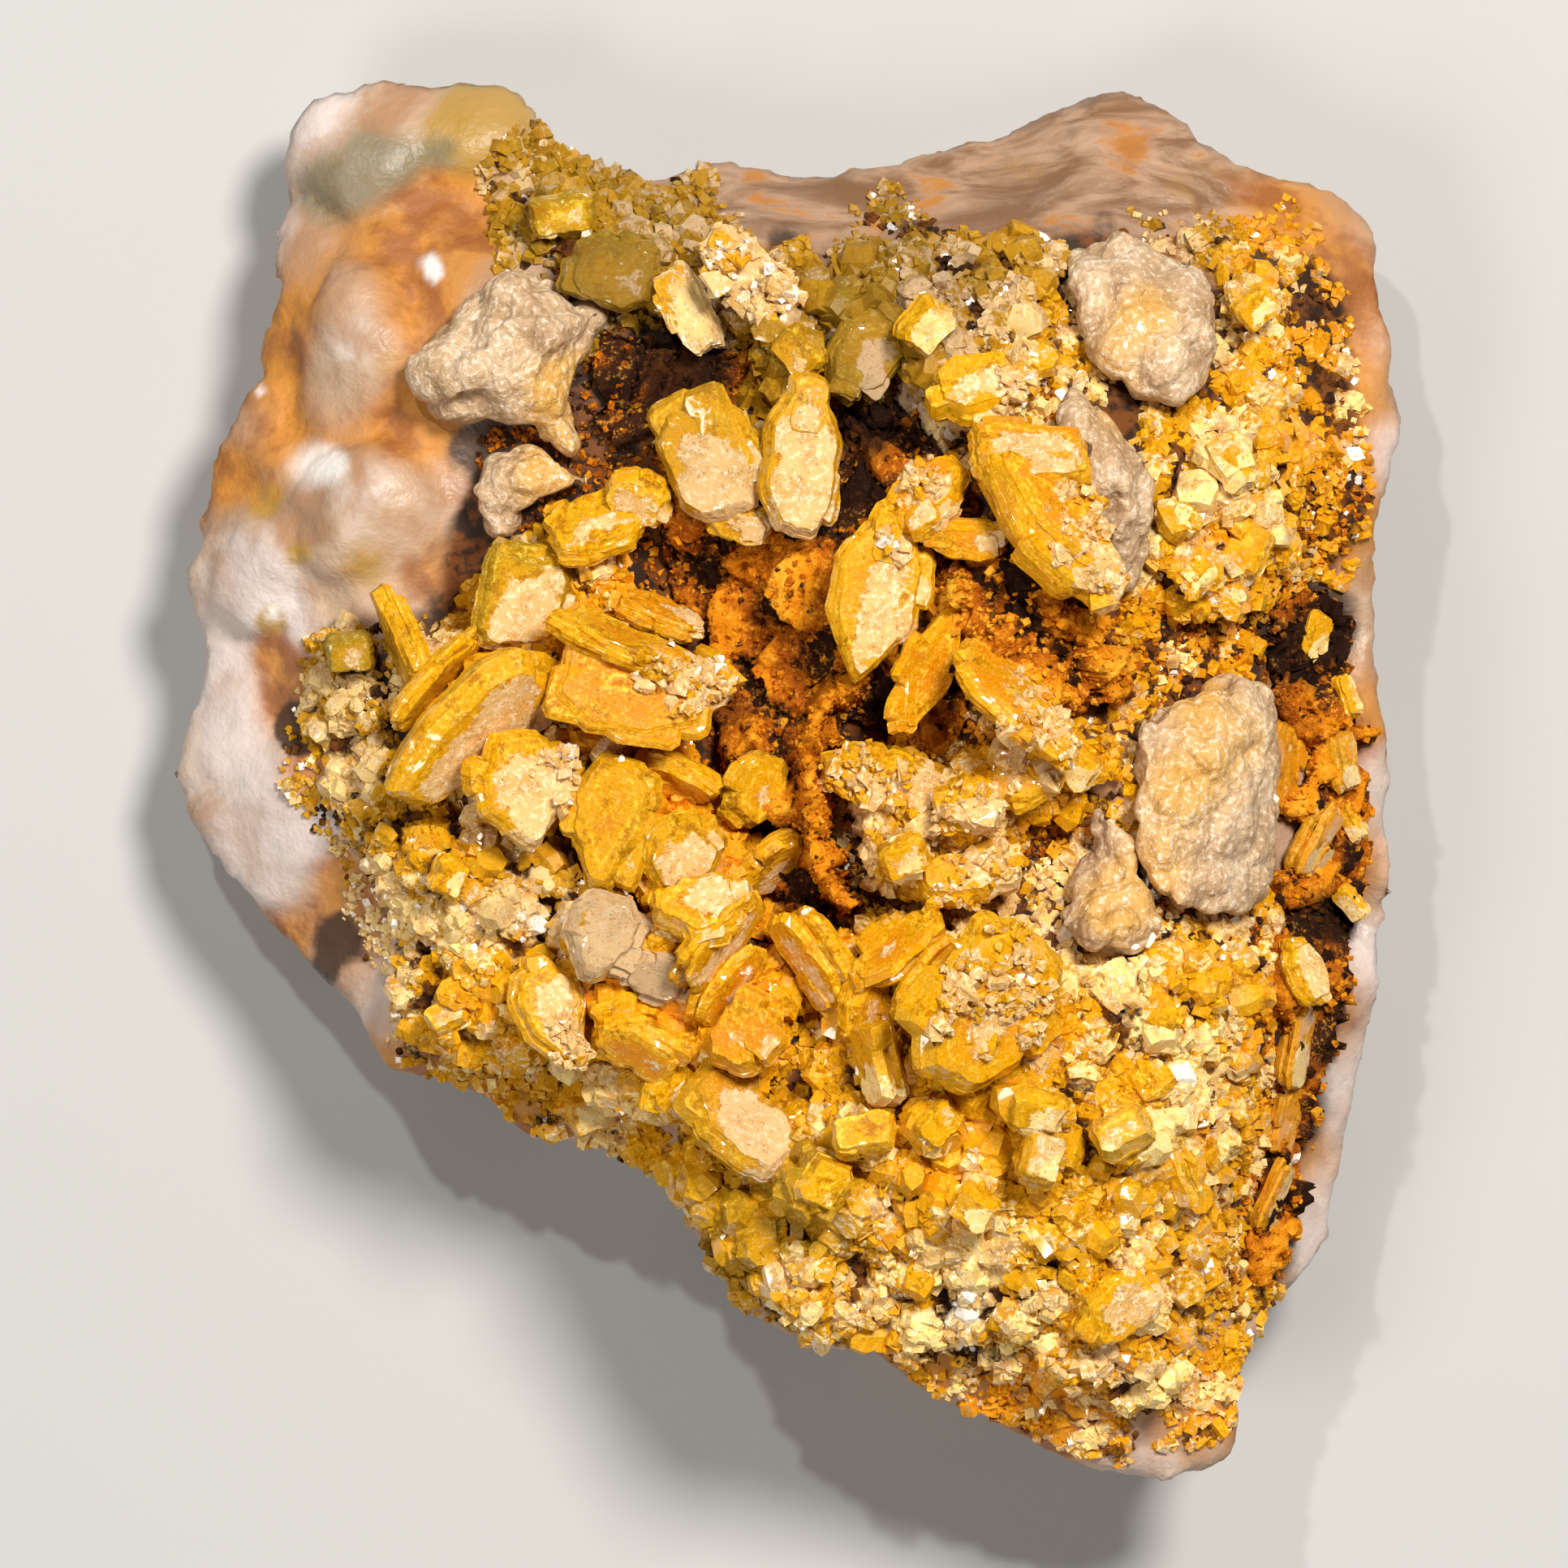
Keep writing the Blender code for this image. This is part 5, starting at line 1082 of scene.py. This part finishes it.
# %% Find how high a tablet lies
def height_on(solid, plate, x, y):
    """How far the plate must rise for its upper side to meet the solid's, by most of the looks down."""
    rises = []
    for dx, dy in itertools.product(np.linspace(-1.2, 1.2, 9), repeat=2):
        eye = Vector((x + dx, y + dy, 90.0))
        on_solid, on_plate = solid.ray_cast(eye, DOWN)[0], plate.ray_cast(eye, DOWN)[0]
        if on_solid and on_plate:
            rises.append(on_solid.z - on_plate.z)
    rises = np.array(rises)
    agreeing = (np.abs(rises[:, None] - rises) < 0.1).sum(axis=1)
    return rises[agreeing.argmax()]


# %% [markdown]
# ## Heaps and crumbs
# Under each tablet stands a heap of upright crystals, from the rock to its underside and lower
# towards its edge, as in a natural cluster. Crumbs of cream-coloured grains lie on the faces that
# carry them.

# %% Marks and heaps of a tablet
rng = np.random.default_rng(81)
rock_tree = tree_of(rock_points, rock_faces)
groups = {}
for seed, row in enumerate(TABLETS):
    groups.setdefault(row[0], []).append((seed, row[1:]))


def wulfenite_marks(count, warm, frost, dull, dirt, level=0.0, gleam=0.0):
    """The marks that the wulfenite's finish reads, each one number or a number for every point."""
    marks = {"warm": warm, "frost": frost, "dull": dull, "dirt": dirt, "level": level, "gleam": gleam}
    return {name: np.broadcast_to(value, count) for name, value in marks.items()}


FROST_SIDE = np.array([0.8, -0.6, 0.0])


def frosted(points, inside, breadth, frost, seed):
    """The frost mark: low on the rim and rising over 0.5 inside a face, nearer the edge for more frost
    and on the side where more of it settled. The points are still centred on the tablet."""
    if frost < 0.01:
        return np.full(len(points), -0.6)
    uneven = 0.35 * noise_at(points + 7 * seed, 1.4, 3) + 0.28 * noise_at(points, 0.45, seed)
    drift = 6.28 * lattice(np.array([[seed, 3, 1]]), 7)[0, 0]
    side = points @ (FROST_SIDE + 0.6 * np.array([math.cos(drift), math.sin(drift), 0])) / (0.5 * breadth)
    edge_band = (1 - frost) * 0.42 * breadth
    mark = 0.50 + 0.8 * (np.maximum(inside, 0) - edge_band) + uneven + 0.50 * side
    on_rim = np.full(len(points), 0.75) if frost > 1 else mark - 0.40
    return np.minimum(np.where(inside < 0, on_rim, mark), 0.68)


def warm_over(warm, inside):
    """A crystal is lemon along its thin rim and deeper inside its faces."""
    return warm + np.where(inside < 0, -0.12, np.clip(0.28 * inside - 0.06, -0.06, 0.22))


def turned_tablet(body, angles, breadth, frost, warm, dull, seed):
    """A tablet's body turned to its heading, pitch and tilt, still centred, with its marks."""
    points, faces, inside = body
    level = points[:, 2] + 0.3 * inside + seed
    points = points @ turn(*angles).T
    frosting = frosted(points, inside, breadth, frost, seed)
    return points, faces, wulfenite_marks(len(points), warm_over(warm, inside), frosting, dull, 0.0, level)


SUPPORTS = 9


def heap_under(x, y, high, breadth, seed):
    """A heap of upright crystals from the rock to the underside of a plate, lower towards its edge."""
    rng = np.random.default_rng(seed)
    foot = rock_tree.ray_cast(Vector((x, y, 90.0)), DOWN)[0].z
    reach = max(high - foot, 0.8)
    off_centre = np.sqrt(np.arange(SUPPORTS) / SUPPORTS)
    around = 2.4 * np.arange(SUPPORTS) + seed
    tall = reach * (1 - off_centre**2 * rng.uniform(0.35, 0.75, SUPPORTS))
    centres = np.column_stack([x + 0.40 * breadth * off_centre * np.cos(around),
                               y + 0.40 * breadth * off_centre * np.sin(around), foot + tall / 2])
    sizes = np.column_stack([0.30 * breadth * rng.uniform(0.8, 1.3, (SUPPORTS, 2)), tall])
    frames = turned_to(np.tile([0.0, 0.0, 1.0], (SUPPORTS, 1)), 0.14, rng)
    points, faces = crystals_at(centres, frames, sizes, plate_template, 0.05, rng)
    frost, dirt = (np.repeat(rng.normal(mean, 0.3, SUPPORTS), len(points) // SUPPORTS)
                   for mean in (0.2, 0.35))
    return points, faces, frost, dirt


print(SUPPORTS, "crystals in a heap under each of", len(TABLETS), "tablets")

# %% Set the tablets
tablet_meshes = []
for node, members in groups.items():
    solid = tree_of(*solids[node])
    parts, smooth = [], []
    for seed, row in members:
        x, y, length, breadth, thickness, heading, pitch, tilt, frost, warm, dull, plates, *outline = row
        body = tablet_body(length, breadth, thickness, plates, seed, *outline)
        points, faces, marks = turned_tablet(body, (heading, pitch, tilt), breadth, frost, warm, dull, seed)
        points = points + (x, y, 0)
        rise = height_on(solid, tree_of(points, faces), x, y)
        parts.append((points + (0, 0, rise), faces, marks))
        across = breadth * max(math.cos(math.radians(tilt)), 0.4)
        *heap, frost, dirt = heap_under(x, y, rise, across, seed)
        parts.append((*heap, wulfenite_marks(len(heap[0]), warm + 0.1, frost, dull, dirt)))
        smooth += [True, False]
    tablet_meshes.append((node, parts, smooth))
print(len(tablet_meshes), "tablets and groups")


# %% Crumbs on the tablets: tablet, x, y, radius, count, cream
CRUMBS = [
    ("tablet_great_south", 8.6, -7.4, 2.3, 340, 0.5), ("tablet_great_diagonal", 11.6, 9.6, 2, 300, 0.6),
    ("crossed_tablets", -3, 3.7, 1.5, 200, 0.6), ("crumbly_bars", -2.2, 18.4, 3.4, 520, 0.9),
    ("tablet_druse_ridge", 3.6, 0.2, 2.6, 260, 0.45), ("tablet_knobbly", 6.8, -3.6, 1.9, 160, 0.45),
    ("open_pair", 9.9, 1.9, 1.4, 110, 0.5), ("tablet_cream_knob", 7, -0.8, 1.3, 70, 0.7),
    ("tablet_north_block", 8.6, 15, 1.4, 90, 0.8), ("tablet_west_face", -8.3, 0.3, 1.2, 60, 0.8),
    ("tablet_shelf_edge", -7.9, -9.9, 1.1, 90, 0.7), ("tablet_great_centre", 3.9, 8.8, 0.7, 14, 0.8),
    ("tablet_middle_knob", 9.2, 0.4, 1.4, 70, 0.5), ("tablet_hooked", 5, 11, 1.4, 60, 0.6),
    ("tablet_corner_low", 10.8, -21.2, 1.2, 60, 0.5),
]


def crumbs_on(tree, x, y, radius, count, rng):
    """Little heaps of blocks around a place on a tree of faces."""
    heaps = radius * 0.55 * rng.normal(size=(max(count // 7, 1), 2))
    places = heaps[rng.integers(len(heaps), size=count)] + 0.26 * rng.normal(size=(count, 2))
    centres, facing = [], []
    for dx, dy in places:
        spot, normal, _, _ = tree.ray_cast(Vector((x + dx, y + dy, 90.0)), DOWN)
        if spot:
            centres.append(spot + normal * rng.uniform(-0.05, 0.22))
            facing.append(normal)
    size = rng.lognormal(math.log(0.27), 0.40, (len(centres), 1)) * rng.uniform(0.6, 1.3, (len(centres), 3))
    frames = turned_to(np.array(facing), 0.9, rng)
    return crystals_at(np.array(centres), frames, size, block_template, 0.24, rng)


corners = len(block_template[0])
for node, parts, smooth in tablet_meshes:
    tree = tree_of(*joined([part[:2] for part in parts[::2]]))
    for _, x, y, radius, count, cream in (row for row in CRUMBS if row[0] == node):
        crumbs = crumbs_on(tree, x, y, radius, count, rng)
        made = len(crumbs[0]) // corners
        frost = np.repeat(rng.normal(cream, 0.25, made), corners)
        warm = np.repeat(rng.normal(0.5, 0.08, made), corners)
        parts.append((*crumbs, wulfenite_marks(len(crumbs[0]), warm, frost, 0.0, 0.0)))
        smooth.append(False)
    make_piece(node + "_crystal", node, "wulfenite", parts, smooth, CRISP_EDGE)
print("tablets", sum(made_pieces[n + "_crystal"] for n, _, _ in tablet_meshes), "triangles")


# %% [markdown]
# ## Crusts of small crystals
# From place to place the crusts change from cream sugar to coarse yellow blocks, or to olive grains
# with black dots between them, and deep between the tablets they are painted dark brown as painted
# shade. A list of places with their looks is blended into one map of cover, size and colour, and each
# crystal takes its look from the map, with some chance of its own.

# %% Looks over the crusts
# x, y, cover, size, cream, warmth, dullness, darkening (grime and painted shade)
LOOKS = [
    (5.4, -13.4, 1, 0.8, 0.3, 0.5, 0, 0.3), (12.2, -12.3, 1, 0.6, 0.5, 0.36, 0, 0.2),
    (12.6, -6.4, 1, 0.42, 1.25, 0.55, 0, -0.1), (16.1, -6.8, 1, 0.55, 0.45, 0.5, 0, 0.3),
    (15.5, -10.1, 1, 0.45, 0.6, 0.52, 0, 0.2), (16.1, -14.2, 1, 0.5, 0.45, 0.52, 0, 0.1),
    (4.9, -15.9, 1, 0.42, 0.6, 0.5, 0, 0.2), (0.5, -15.9, 1, 0.8, 0.12, 0.15, 0.15, 0.1),
    (9.5, -16.7, 1, 0.5, 0.35, 0.35, 0, 0.4), (6.8, -20, 1, 0.36, 1.25, 0.5, 0, -0.2),
    (13, -19, 1, 0.45, 0.65, 0.5, 0, 0.1), (11.5, -22.4, 1, 0.48, 0.5, 0.75, 0, 0.35),
    (15, -22.4, 1, 0.5, 0.55, 0.65, 0, 0.15), (12.5, -24, 1, 0.45, 0.6, 0.7, 0, 0.2),
    (16, -20.2, 1, 0.4, 0.3, 0.4, 0, 0.6), (4, -18, 1, 0.42, 0.4, 0.5, 0, 0.6),
    (-2, -17.2, 1, 0.8, 0.08, 0.1, 0.25, 0.05), (1, -19.2, 1, 0.42, 1, 0.45, 0, 0),
    (9, -9.6, 1, 0.5, 0.45, 0.5, 0, 0.4), (7.6, -12.6, 1, 0.75, 0.3, 0.48, 0, 0.4),
    (2.4, -9.8, 1, 0.5, 0.3, 0.45, 0.1, 0.6), (3.7, -2.2, 1, 0.42, 0.6, 0.45, 0.1, 0.15),
    (9.6, 0, 1, 0.45, 0.5, 0.55, 0, 0.1), (11.6, 1.2, 1, 0.5, 0.4, 0.52, 0, 0.15),
    (-11.3, -6.4, 1, 0.48, 0.5, 0.5, 0, 0), (-13.6, -5.5, 1, 0.34, 0.8, 0.45, 0.2, 0.25),
    (-12.2, -2.8, 1, 0.4, 0.35, 0.42, 0.1, 0.4), (-9.8, -3.7, 1, 0.34, 0.7, 0.4, 0.4, 0.45),
    (-16.4, 2.6, 1, 0.42, 0.55, 0.28, 0.3, 0.2), (-15.8, -0.4, 1, 0.38, 0.7, 0.4, 0.3, 0.35),
    (-13.2, 1, 1, 0.45, 0.4, 0.35, 0.1, 0.3), (-11.4, -9.4, 1, 0.44, 0.5, 0.55, 0, 0.05),
    (-8, 2.2, 1, 0.45, 0.3, 0.6, 0.1, 0.75), (-4.6, -2.6, 1, 0.6, 0.05, 0.75, 0, 0.75),
    (-7.2, -12.1, 1, 0.6, 0.7, 0.45, 0, 0), (-5, -8.2, 1, 0.6, 0.1, 0.75, 0, 0.6),
    (0.2, -8, 1, 0.5, 0.2, 0.75, 0, 0.65), (-3, -14, 1, 0.6, 0.25, 0.35, 0, 0.1),
    (4, 18.6, 1, 0.42, 0.45, 0.3, 0.9, 0.3), (7.2, 17.8, 1, 0.42, 0.45, 0.35, 0.8, 0.4),
    (2.2, 16.6, 1, 0.6, 0.3, 0.2, 0.95, 0.25), (0.4, 16.1, 1, 0.5, 0.3, 0.3, 0.5, 0.2),
    (-3, 19.4, 1, 0.42, 0.55, 0.35, 0.75, 0.3), (-8, 21, 1, 0.6, 0.35, 0.3, 0.65, 0.15),
    (-5.6, 20.8, 1, 0.55, 0.35, 0.25, 0.8, 0.15), (9.3, 15.8, 1, 0.5, 0.8, 0.4, 0, 0.05),
    (17.4, 17.4, 1, 0.45, 0.68, 0.45, 0.1, 0.2), (16, 11, 1, 0.58, 0.62, 0.45, 0, 0.15),
    (17.6, 13.4, 1, 0.52, 0.65, 0.45, 0.1, 0.3), (14.8, 9.8, 1, 0.55, 0.4, 0.45, 0, 0.05),
    (17.4, 8, 1, 0.48, 0.3, 0.62, 0, 0.25), (15.4, 5.8, 0.9, 0.45, 0.3, 0.6, 0, 0.6),
    (13.2, 15.9, 0.6, 0.4, 0.6, 0.45, 0, 0.3), (19.6, 12, 0.8, 0.4, 0.3, 0.8, 0.1, 0.6),
    (19.8, 17, 0.8, 0.4, 0.35, 0.75, 0.1, 0.6), (20.4, 4, 0.3, 0.38, 0.2, 0.85, 0, 0.5),
    (20.6, -9, 0.2, 0.4, 0.35, 0.7, 0, 0.3), (18.6, -9.4, 0.5, 0.45, 0.4, 0.62, 0, 0.2),
    (13, 20.6, 0.3, 0.36, 0.5, 0.3, 0.3, 0.4), (0, 21.6, 0, 0.3, 0.3, 0.5, 0.5, 0.5),
    (8, 22, 0, 0.3, 0.3, 0.5, 0.5, 0.5), (-14, 20, 0, 0.3, 0.3, 0.5, 0.5, 0.5),
    (-16, 14, 0, 0.3, 0.3, 0.5, 0.5, 0.5), (-17, 9, 0, 0.3, 0.3, 0.5, 0.5, 0.5),
    (-20, 3, 0, 0.3, 0.3, 0.5, 0.5, 0.5), (-19, -3, 0, 0.3, 0.3, 0.5, 0.5, 0.5),
    (-11, 11, 0.1, 0.4, 0.3, 0.5, 0.2, 0.5), (20, -16, 0, 0.3, 0.3, 0.5, 0.5, 0.5),
    (-16.5, -7.5, 0.1, 0.3, 0.6, 0.5, 0.3, 0.3), (16, 24, 0, 0.3, 0.3, 0.5, 0.5, 0.5),
    (22, 20, 0, 0.3, 0.3, 0.5, 0.5, 0.5), (2, 8, 0, 0.3, 0.3, 0.7, 0, 0.5),
    (0, 2, 0.1, 0.3, 0.3, 0.7, 0, 0.5), (-2, 7, 0.1, 0.3, 0.3, 0.8, 0, 0.5),
    (9, 5.6, 0, 0.3, 0.3, 0.8, 0, 0.5), (18.6, 10, 1, 0.42, 0.55, 0.5, 0, 0.3),
    (18.9, 15.2, 0.9, 0.38, 0.3, 0.7, 0, 0.85), (8, -22.6, 1, 0.46, 0.35, 0.85, 0, 0.55),
    (4.4, -20.9, 1, 0.42, 0.65, 0.7, 0, 0.2), (19.2, 19.4, 0.6, 0.38, 0.4, 0.7, 0.1, 0.6),
    (13.8, 19, 0.9, 0.4, 0.5, 0.4, 0.5, 0.3),
]
LOOK_REACH = 1.3


def looks_at(points):
    """Cover, size, cream, warmth, dullness, and a darkening that is partly grime and partly painted shade, at
    each point.
    """
    table = np.array(LOOKS)
    away = ((points[:, None, :2] - table[None, :, :2]) ** 2).sum(axis=2)
    weight = np.exp(-(away - away.min(axis=1, keepdims=True)) / (2 * LOOK_REACH**2))
    return (weight @ table[:, 2:]) / weight.sum(axis=1, keepdims=True)


print(len(LOOKS), "places with looks")


# %% Crystals over a crust
LUMP = 1.45  # size of the lumps of a crust, with clefts between them


def grown_on(places, facing, scale, largest, template, lean, sink, jitter, rng):
    """Crystals at places on the crust, each with the look of its place, and few in its clefts."""
    cleft = cells_at(places, LUMP, seed=8)[0]
    kept = rng.random(len(places)) > (cleft - 0.50) * 2.4
    places, facing, cleft = places[kept], facing[kept], cleft[kept]
    _, size, cream, warm, dull, dirt = looks_at(places).T
    size = np.minimum(scale * size * rng.lognormal(0, 0.30, len(places)) * (1.15 - 0.4 * cleft), largest)
    sizes = size[:, None] * rng.uniform(0.55, 1.2, (len(places), 3))
    points, faces = crystals_at(places - sink * size[:, None] * facing, turned_to(facing, lean, rng),
                                sizes, template, jitter, rng)
    corners = len(template[0])
    frost = cream + 0.25 * facing[:, 2] - 0.36 + 0.55 * noise_at(places, 1.6, 31) - 0.7 * (cleft - 0.35)
    frost = np.repeat(frost + rng.normal(0, 0.15, len(places)), corners)
    frost = frost + 0.10 * np.tile(np.sign(template[0][:, 2]), len(places))
    warmth = np.repeat(warm + 0.12 * noise_at(places, 2.2, 32) + rng.normal(0, 0.06, len(places)), corners)
    # Small crystals in the clefts are painted dark: painted shade, added to the grime of their place.
    dirt_and_shade_share = (dirt * (0.25 + 0.7 * noise_at(places, 0.9, 33)) + 0.5 * (cleft > 0.62)) * (size < 0.5)
    # A few small crystals are painted near white: painted glints.
    gleam = np.repeat(0.8 * (rng.random(len(places)) < 0.02) * (size < 0.36), corners)
    return points, faces, wulfenite_marks(len(points), warmth, frost, np.repeat(dull, corners),
                                          np.repeat(dirt_and_shade_share, corners), 0.0, gleam)


# %% Bare rock between the crusts carries crystals too
ROCK_CRYSTALS_PER_MM2, ROCK_CRYSTAL_REACH = 20.0, 2.6
rng = np.random.default_rng(91)
places, facing = spread_over(rock_points, rock_faces, ROCK_CRYSTALS_PER_MM2, rng, 0.45)
wanted = looks_at(places)[:, 0] > 0.42 + 0.25 * rng.random(len(places)) + 0.2 * noise_at(places, 1.5, 44)
places, facing, owner = bare_rock(places[wanted], facing[wanted], kinds["druse"], ROCK_CRYSTAL_REACH)
print(len(places), "small crystals on the rock between the crusts")

# %% White crystals painted as glints, painted highlights where light catches: x, y, size
GLINTS = [
    (-6, 0.9, 0.7), (-8, -0.7, 0.5), (-10.9, -4.4, 0.8), (-13, -5.3, 0.5), (-11.1, -6.8, 0.6),
    (-10.5, -8.2, 0.5), (-5.2, -6.8, 0.5), (0.5, 17.1, 0.8), (6.5, 15.9, 0.9), (5.4, 15.1, 0.7),
    (9.6, 20.2, 1.1), (7, 11.2, 0.4), (5.2, 8.9, 0.4), (20, 11.3, 0.7), (16.4, 10.1, 0.5), (18.2, 8.6, 0.5),
    (10.3, 9.4, 0.4), (12.1, 7.2, 0.4), (10.5, 0.7, 0.5), (18.1, -0.5, 0.6), (17.2, -5.1, 0.7),
    (16.6, -5.2, 0.5), (8.9, -17.7, 0.6), (11.8, -23.8, 0.7), (18.9, -13.7, 0.7), (13.6, -15.2, 0.5),
    (12.8, -6, 0.7), (13.4, -5.7, 0.7), (12.2, -6.3, 0.6), (14, -5.4, 0.6), (5.6, -20.2, 0.8),
    (6.6, -20.6, 0.8), (7.6, -21, 0.7), (8.4, -20.4, 0.6), (-13.9, -9.4, 0.5), (3.4, -2, 0.4),
    (6.6, -14.6, 0.6), (10.2, -10.4, 0.5), (0.9, -4.6, 0.6), (-0.9, -7.2, 0.5),
]
glint_rows = np.array(GLINTS)
glint_owner = np.array([np.argmin([np.linalg.norm(solids[n][0][:, :2] - row[:2], axis=1).min()
                                   for n in kinds["druse"]]) for row in glint_rows])
tablet_tree = tree_of(*joined([part[:2] for _, parts, _ in tablet_meshes for part in parts]))
ground_tree = tree_of(*joined(list(ground_meshes.values())))


def highest(x, y, trees):
    """The highest point over x, y on any of the trees, with its normal."""
    hits = [tree.ray_cast(Vector((x, y, 90.0)), DOWN)[:2] for tree in trees]
    return max((hit for hit in hits if hit[0]), key=lambda hit: hit[0].z)


print(len(GLINTS), "glints")

# %% Grow the crusts
DRUSE_NET = 0.30
FINE_PER_MM2, COARSE_PER_MM2 = 13.0, 2.5
CRUST_SEED = 500
for index, node in enumerate(kinds["druse"]):
    points, faces = skin_of(node, DRUSE_NET, 2)
    out = normals_of(points, faces)
    cleft, label, slope = cells_at(points, LUMP, seed=8)
    grain, _, face = cells_at(points, 0.6, seed=14)
    relief = 1.15 * (0.50 - cleft) + 0.20 * label + 0.25 * slope + 0.12 * (0.5 - grain) + 0.2 * face
    points = points + out * relief[:, None]
    _, _, cream, warm, dull, dirt = looks_at(points).T
    # The skin is painted dark in the clefts between the lumps: painted shade.
    marks = wulfenite_marks(len(points), warm, cream + 0.3 * (0.4 - cleft), dull,
                            np.clip(0.10 + 0.4 * dirt + 1.8 * (cleft - 0.5), 0, 1))
    parts = [(points, faces, marks)]
    fine = spread_over(points, faces, FINE_PER_MM2, rng, -0.1)
    mine = owner == index
    fine = (np.concatenate([fine[0], places[mine]]), np.concatenate([fine[1], facing[mine]]))
    parts.append(grown_on(*fine, scale=0.80, largest=0.70, template=grain_template,
                          lean=0.8, sink=0.0, jitter=0.09, rng=rng))
    coarse = spread_over(points, faces, COARSE_PER_MM2, rng, 0.1)
    parts.append(grown_on(*coarse, scale=1.75, largest=1.45, template=plate_template,
                          lean=0.9, sink=0.1, jitter=0.06, rng=rng))
    tree = tree_of(points, faces)
    spots, ups = [], []
    rows = glint_rows[glint_owner == index]
    for x, y, _ in rows:
        spot, normal = highest(x, y, (tree, tablet_tree, ground_tree))
        spots.append(spot - 0.12 * normal)
        ups.append(normal)
    sizes = 0.75 * rows[:, 2:] * rng.uniform((0.35, 0.8, 0.4), (0.8, 1.4, 1.0), (len(rows), 3))
    frames = turned_to(np.array(ups), 0.35, rng)
    glints = crystals_at(np.array(spots), frames, sizes, plate_template, 0.06, rng)
    # Painted near white: painted highlights.
    parts.append((*glints, wulfenite_marks(len(glints[0]), warm=0.3, frost=0.6, dull=0.0, dirt=-0.5,
                                           gleam=0.72)))
    for k, row in enumerate(CRUST_TABLETS[node]):
        x, y, lift, length, breadth, thickness, heading, tilt, frost, warm, dull, plates = row
        body = tablet_body(length, breadth, thickness, plates, CRUST_SEED + k, "square",
                           turns=32, rows=(0.5, 0.8, 1.0), layers=3, side_growths=1)
        body, body_faces, marks = turned_tablet(body, (heading, 0, tilt), breadth, frost, warm, dull, k)
        spot = highest(x, y, (tree, ground_tree))[0]
        parts.append((body + (x, y, spot.z + lift), body_faces, marks))
    make_piece(node + "_crust", node, "wulfenite_druse", parts,
               [True, False, False, False] + [True] * len(CRUST_TABLETS[node]), CRISP_EDGE)
print("crusts", {n: made_pieces[n + "_crust"] for n in kinds["druse"]}, "triangles")


# %% [markdown]
# ## Floor, light and camera
# A studio shot of a mineral uses one large soft light from above and to one side, a weaker one
# opposite, and a small hard light that puts glints on the crystal faces. The camera looks straight
# down from far off through a long lens, so that the specimen's height hardly changes its outline.

# %% Floor
def floor_finish():
    r = Recipe("pale_studio_floor")
    cloud = r.noise(60.0, 2)
    colour = r.blend((0.46, 0.455, 0.44), (0.50, 0.495, 0.48), cloud)
    return r.finish(Base_Color=colour, Roughness=0.6 + 0.2 * cloud)


FLOOR_REACH = 2.0
floor_corners = [(x * FLOOR_REACH, y * FLOOR_REACH, 0) for x, y in ((-1, -1), (1, -1), (1, 1), (-1, 1))]
floor_mesh = bpy.data.meshes.new("studio_floor")
floor_mesh.from_pydata(floor_corners, [], [(0, 1, 2, 3)])
floor_mesh.materials.append(floor_finish())
floor = placed("studio_floor", floor_mesh)


# %% Lights
def area_light(name, place, size, power, colour=(1, 1, 1)):
    light = bpy.data.lights.new(name, "AREA")
    light.shape, light.size, light.energy, light.color = "DISK", size, power, colour
    lamp = placed(name, light)
    lamp.location = place
    lamp.rotation_mode = "QUATERNION"
    lamp.rotation_quaternion = Vector(place).to_track_quat("Z", "Y")


area_light("soft_key", (0.16, 0.20, 0.45), 0.13, 3.2, (1.0, 0.97, 0.92))
area_light("soft_fill", (-0.26, -0.22, 0.42), 0.22, 1.0, (1.0, 0.98, 0.95))
area_light("glint", (-0.12, 0.26, 0.50), 0.02, 0.8)
world = bpy.data.worlds.new("studio_air")
world.use_nodes = True
world.node_tree.nodes["Background"].inputs["Color"].default_value = (1.0, 0.98, 0.95, 1.0)
world.node_tree.nodes["Background"].inputs["Strength"].default_value = 0.08
bpy.context.scene.world = world

# %% Camera
PIXELS = 1932
MM_PER_PIXEL = 0.03
FIELD = MM_PER_PIXEL * PIXELS * MM
AIM_HEIGHT = 9 * MM
DISTANCE = 1.0
SENSOR = 36
camera_data = bpy.data.cameras.new("overhead")
camera_data.sensor_width = SENSOR
camera_data.lens = SENSOR * DISTANCE / FIELD
camera = placed("overhead", camera_data)
camera.location = (0, 0, AIM_HEIGHT + DISTANCE)
bpy.context.scene.camera = camera
print("lens", round(camera_data.lens), "mm")

# %% [markdown]
# ## Finish
# The total number of triangles over all pieces is printed.

# %% Print the total of triangles
print("total", sum(made_pieces.values()), "triangles")
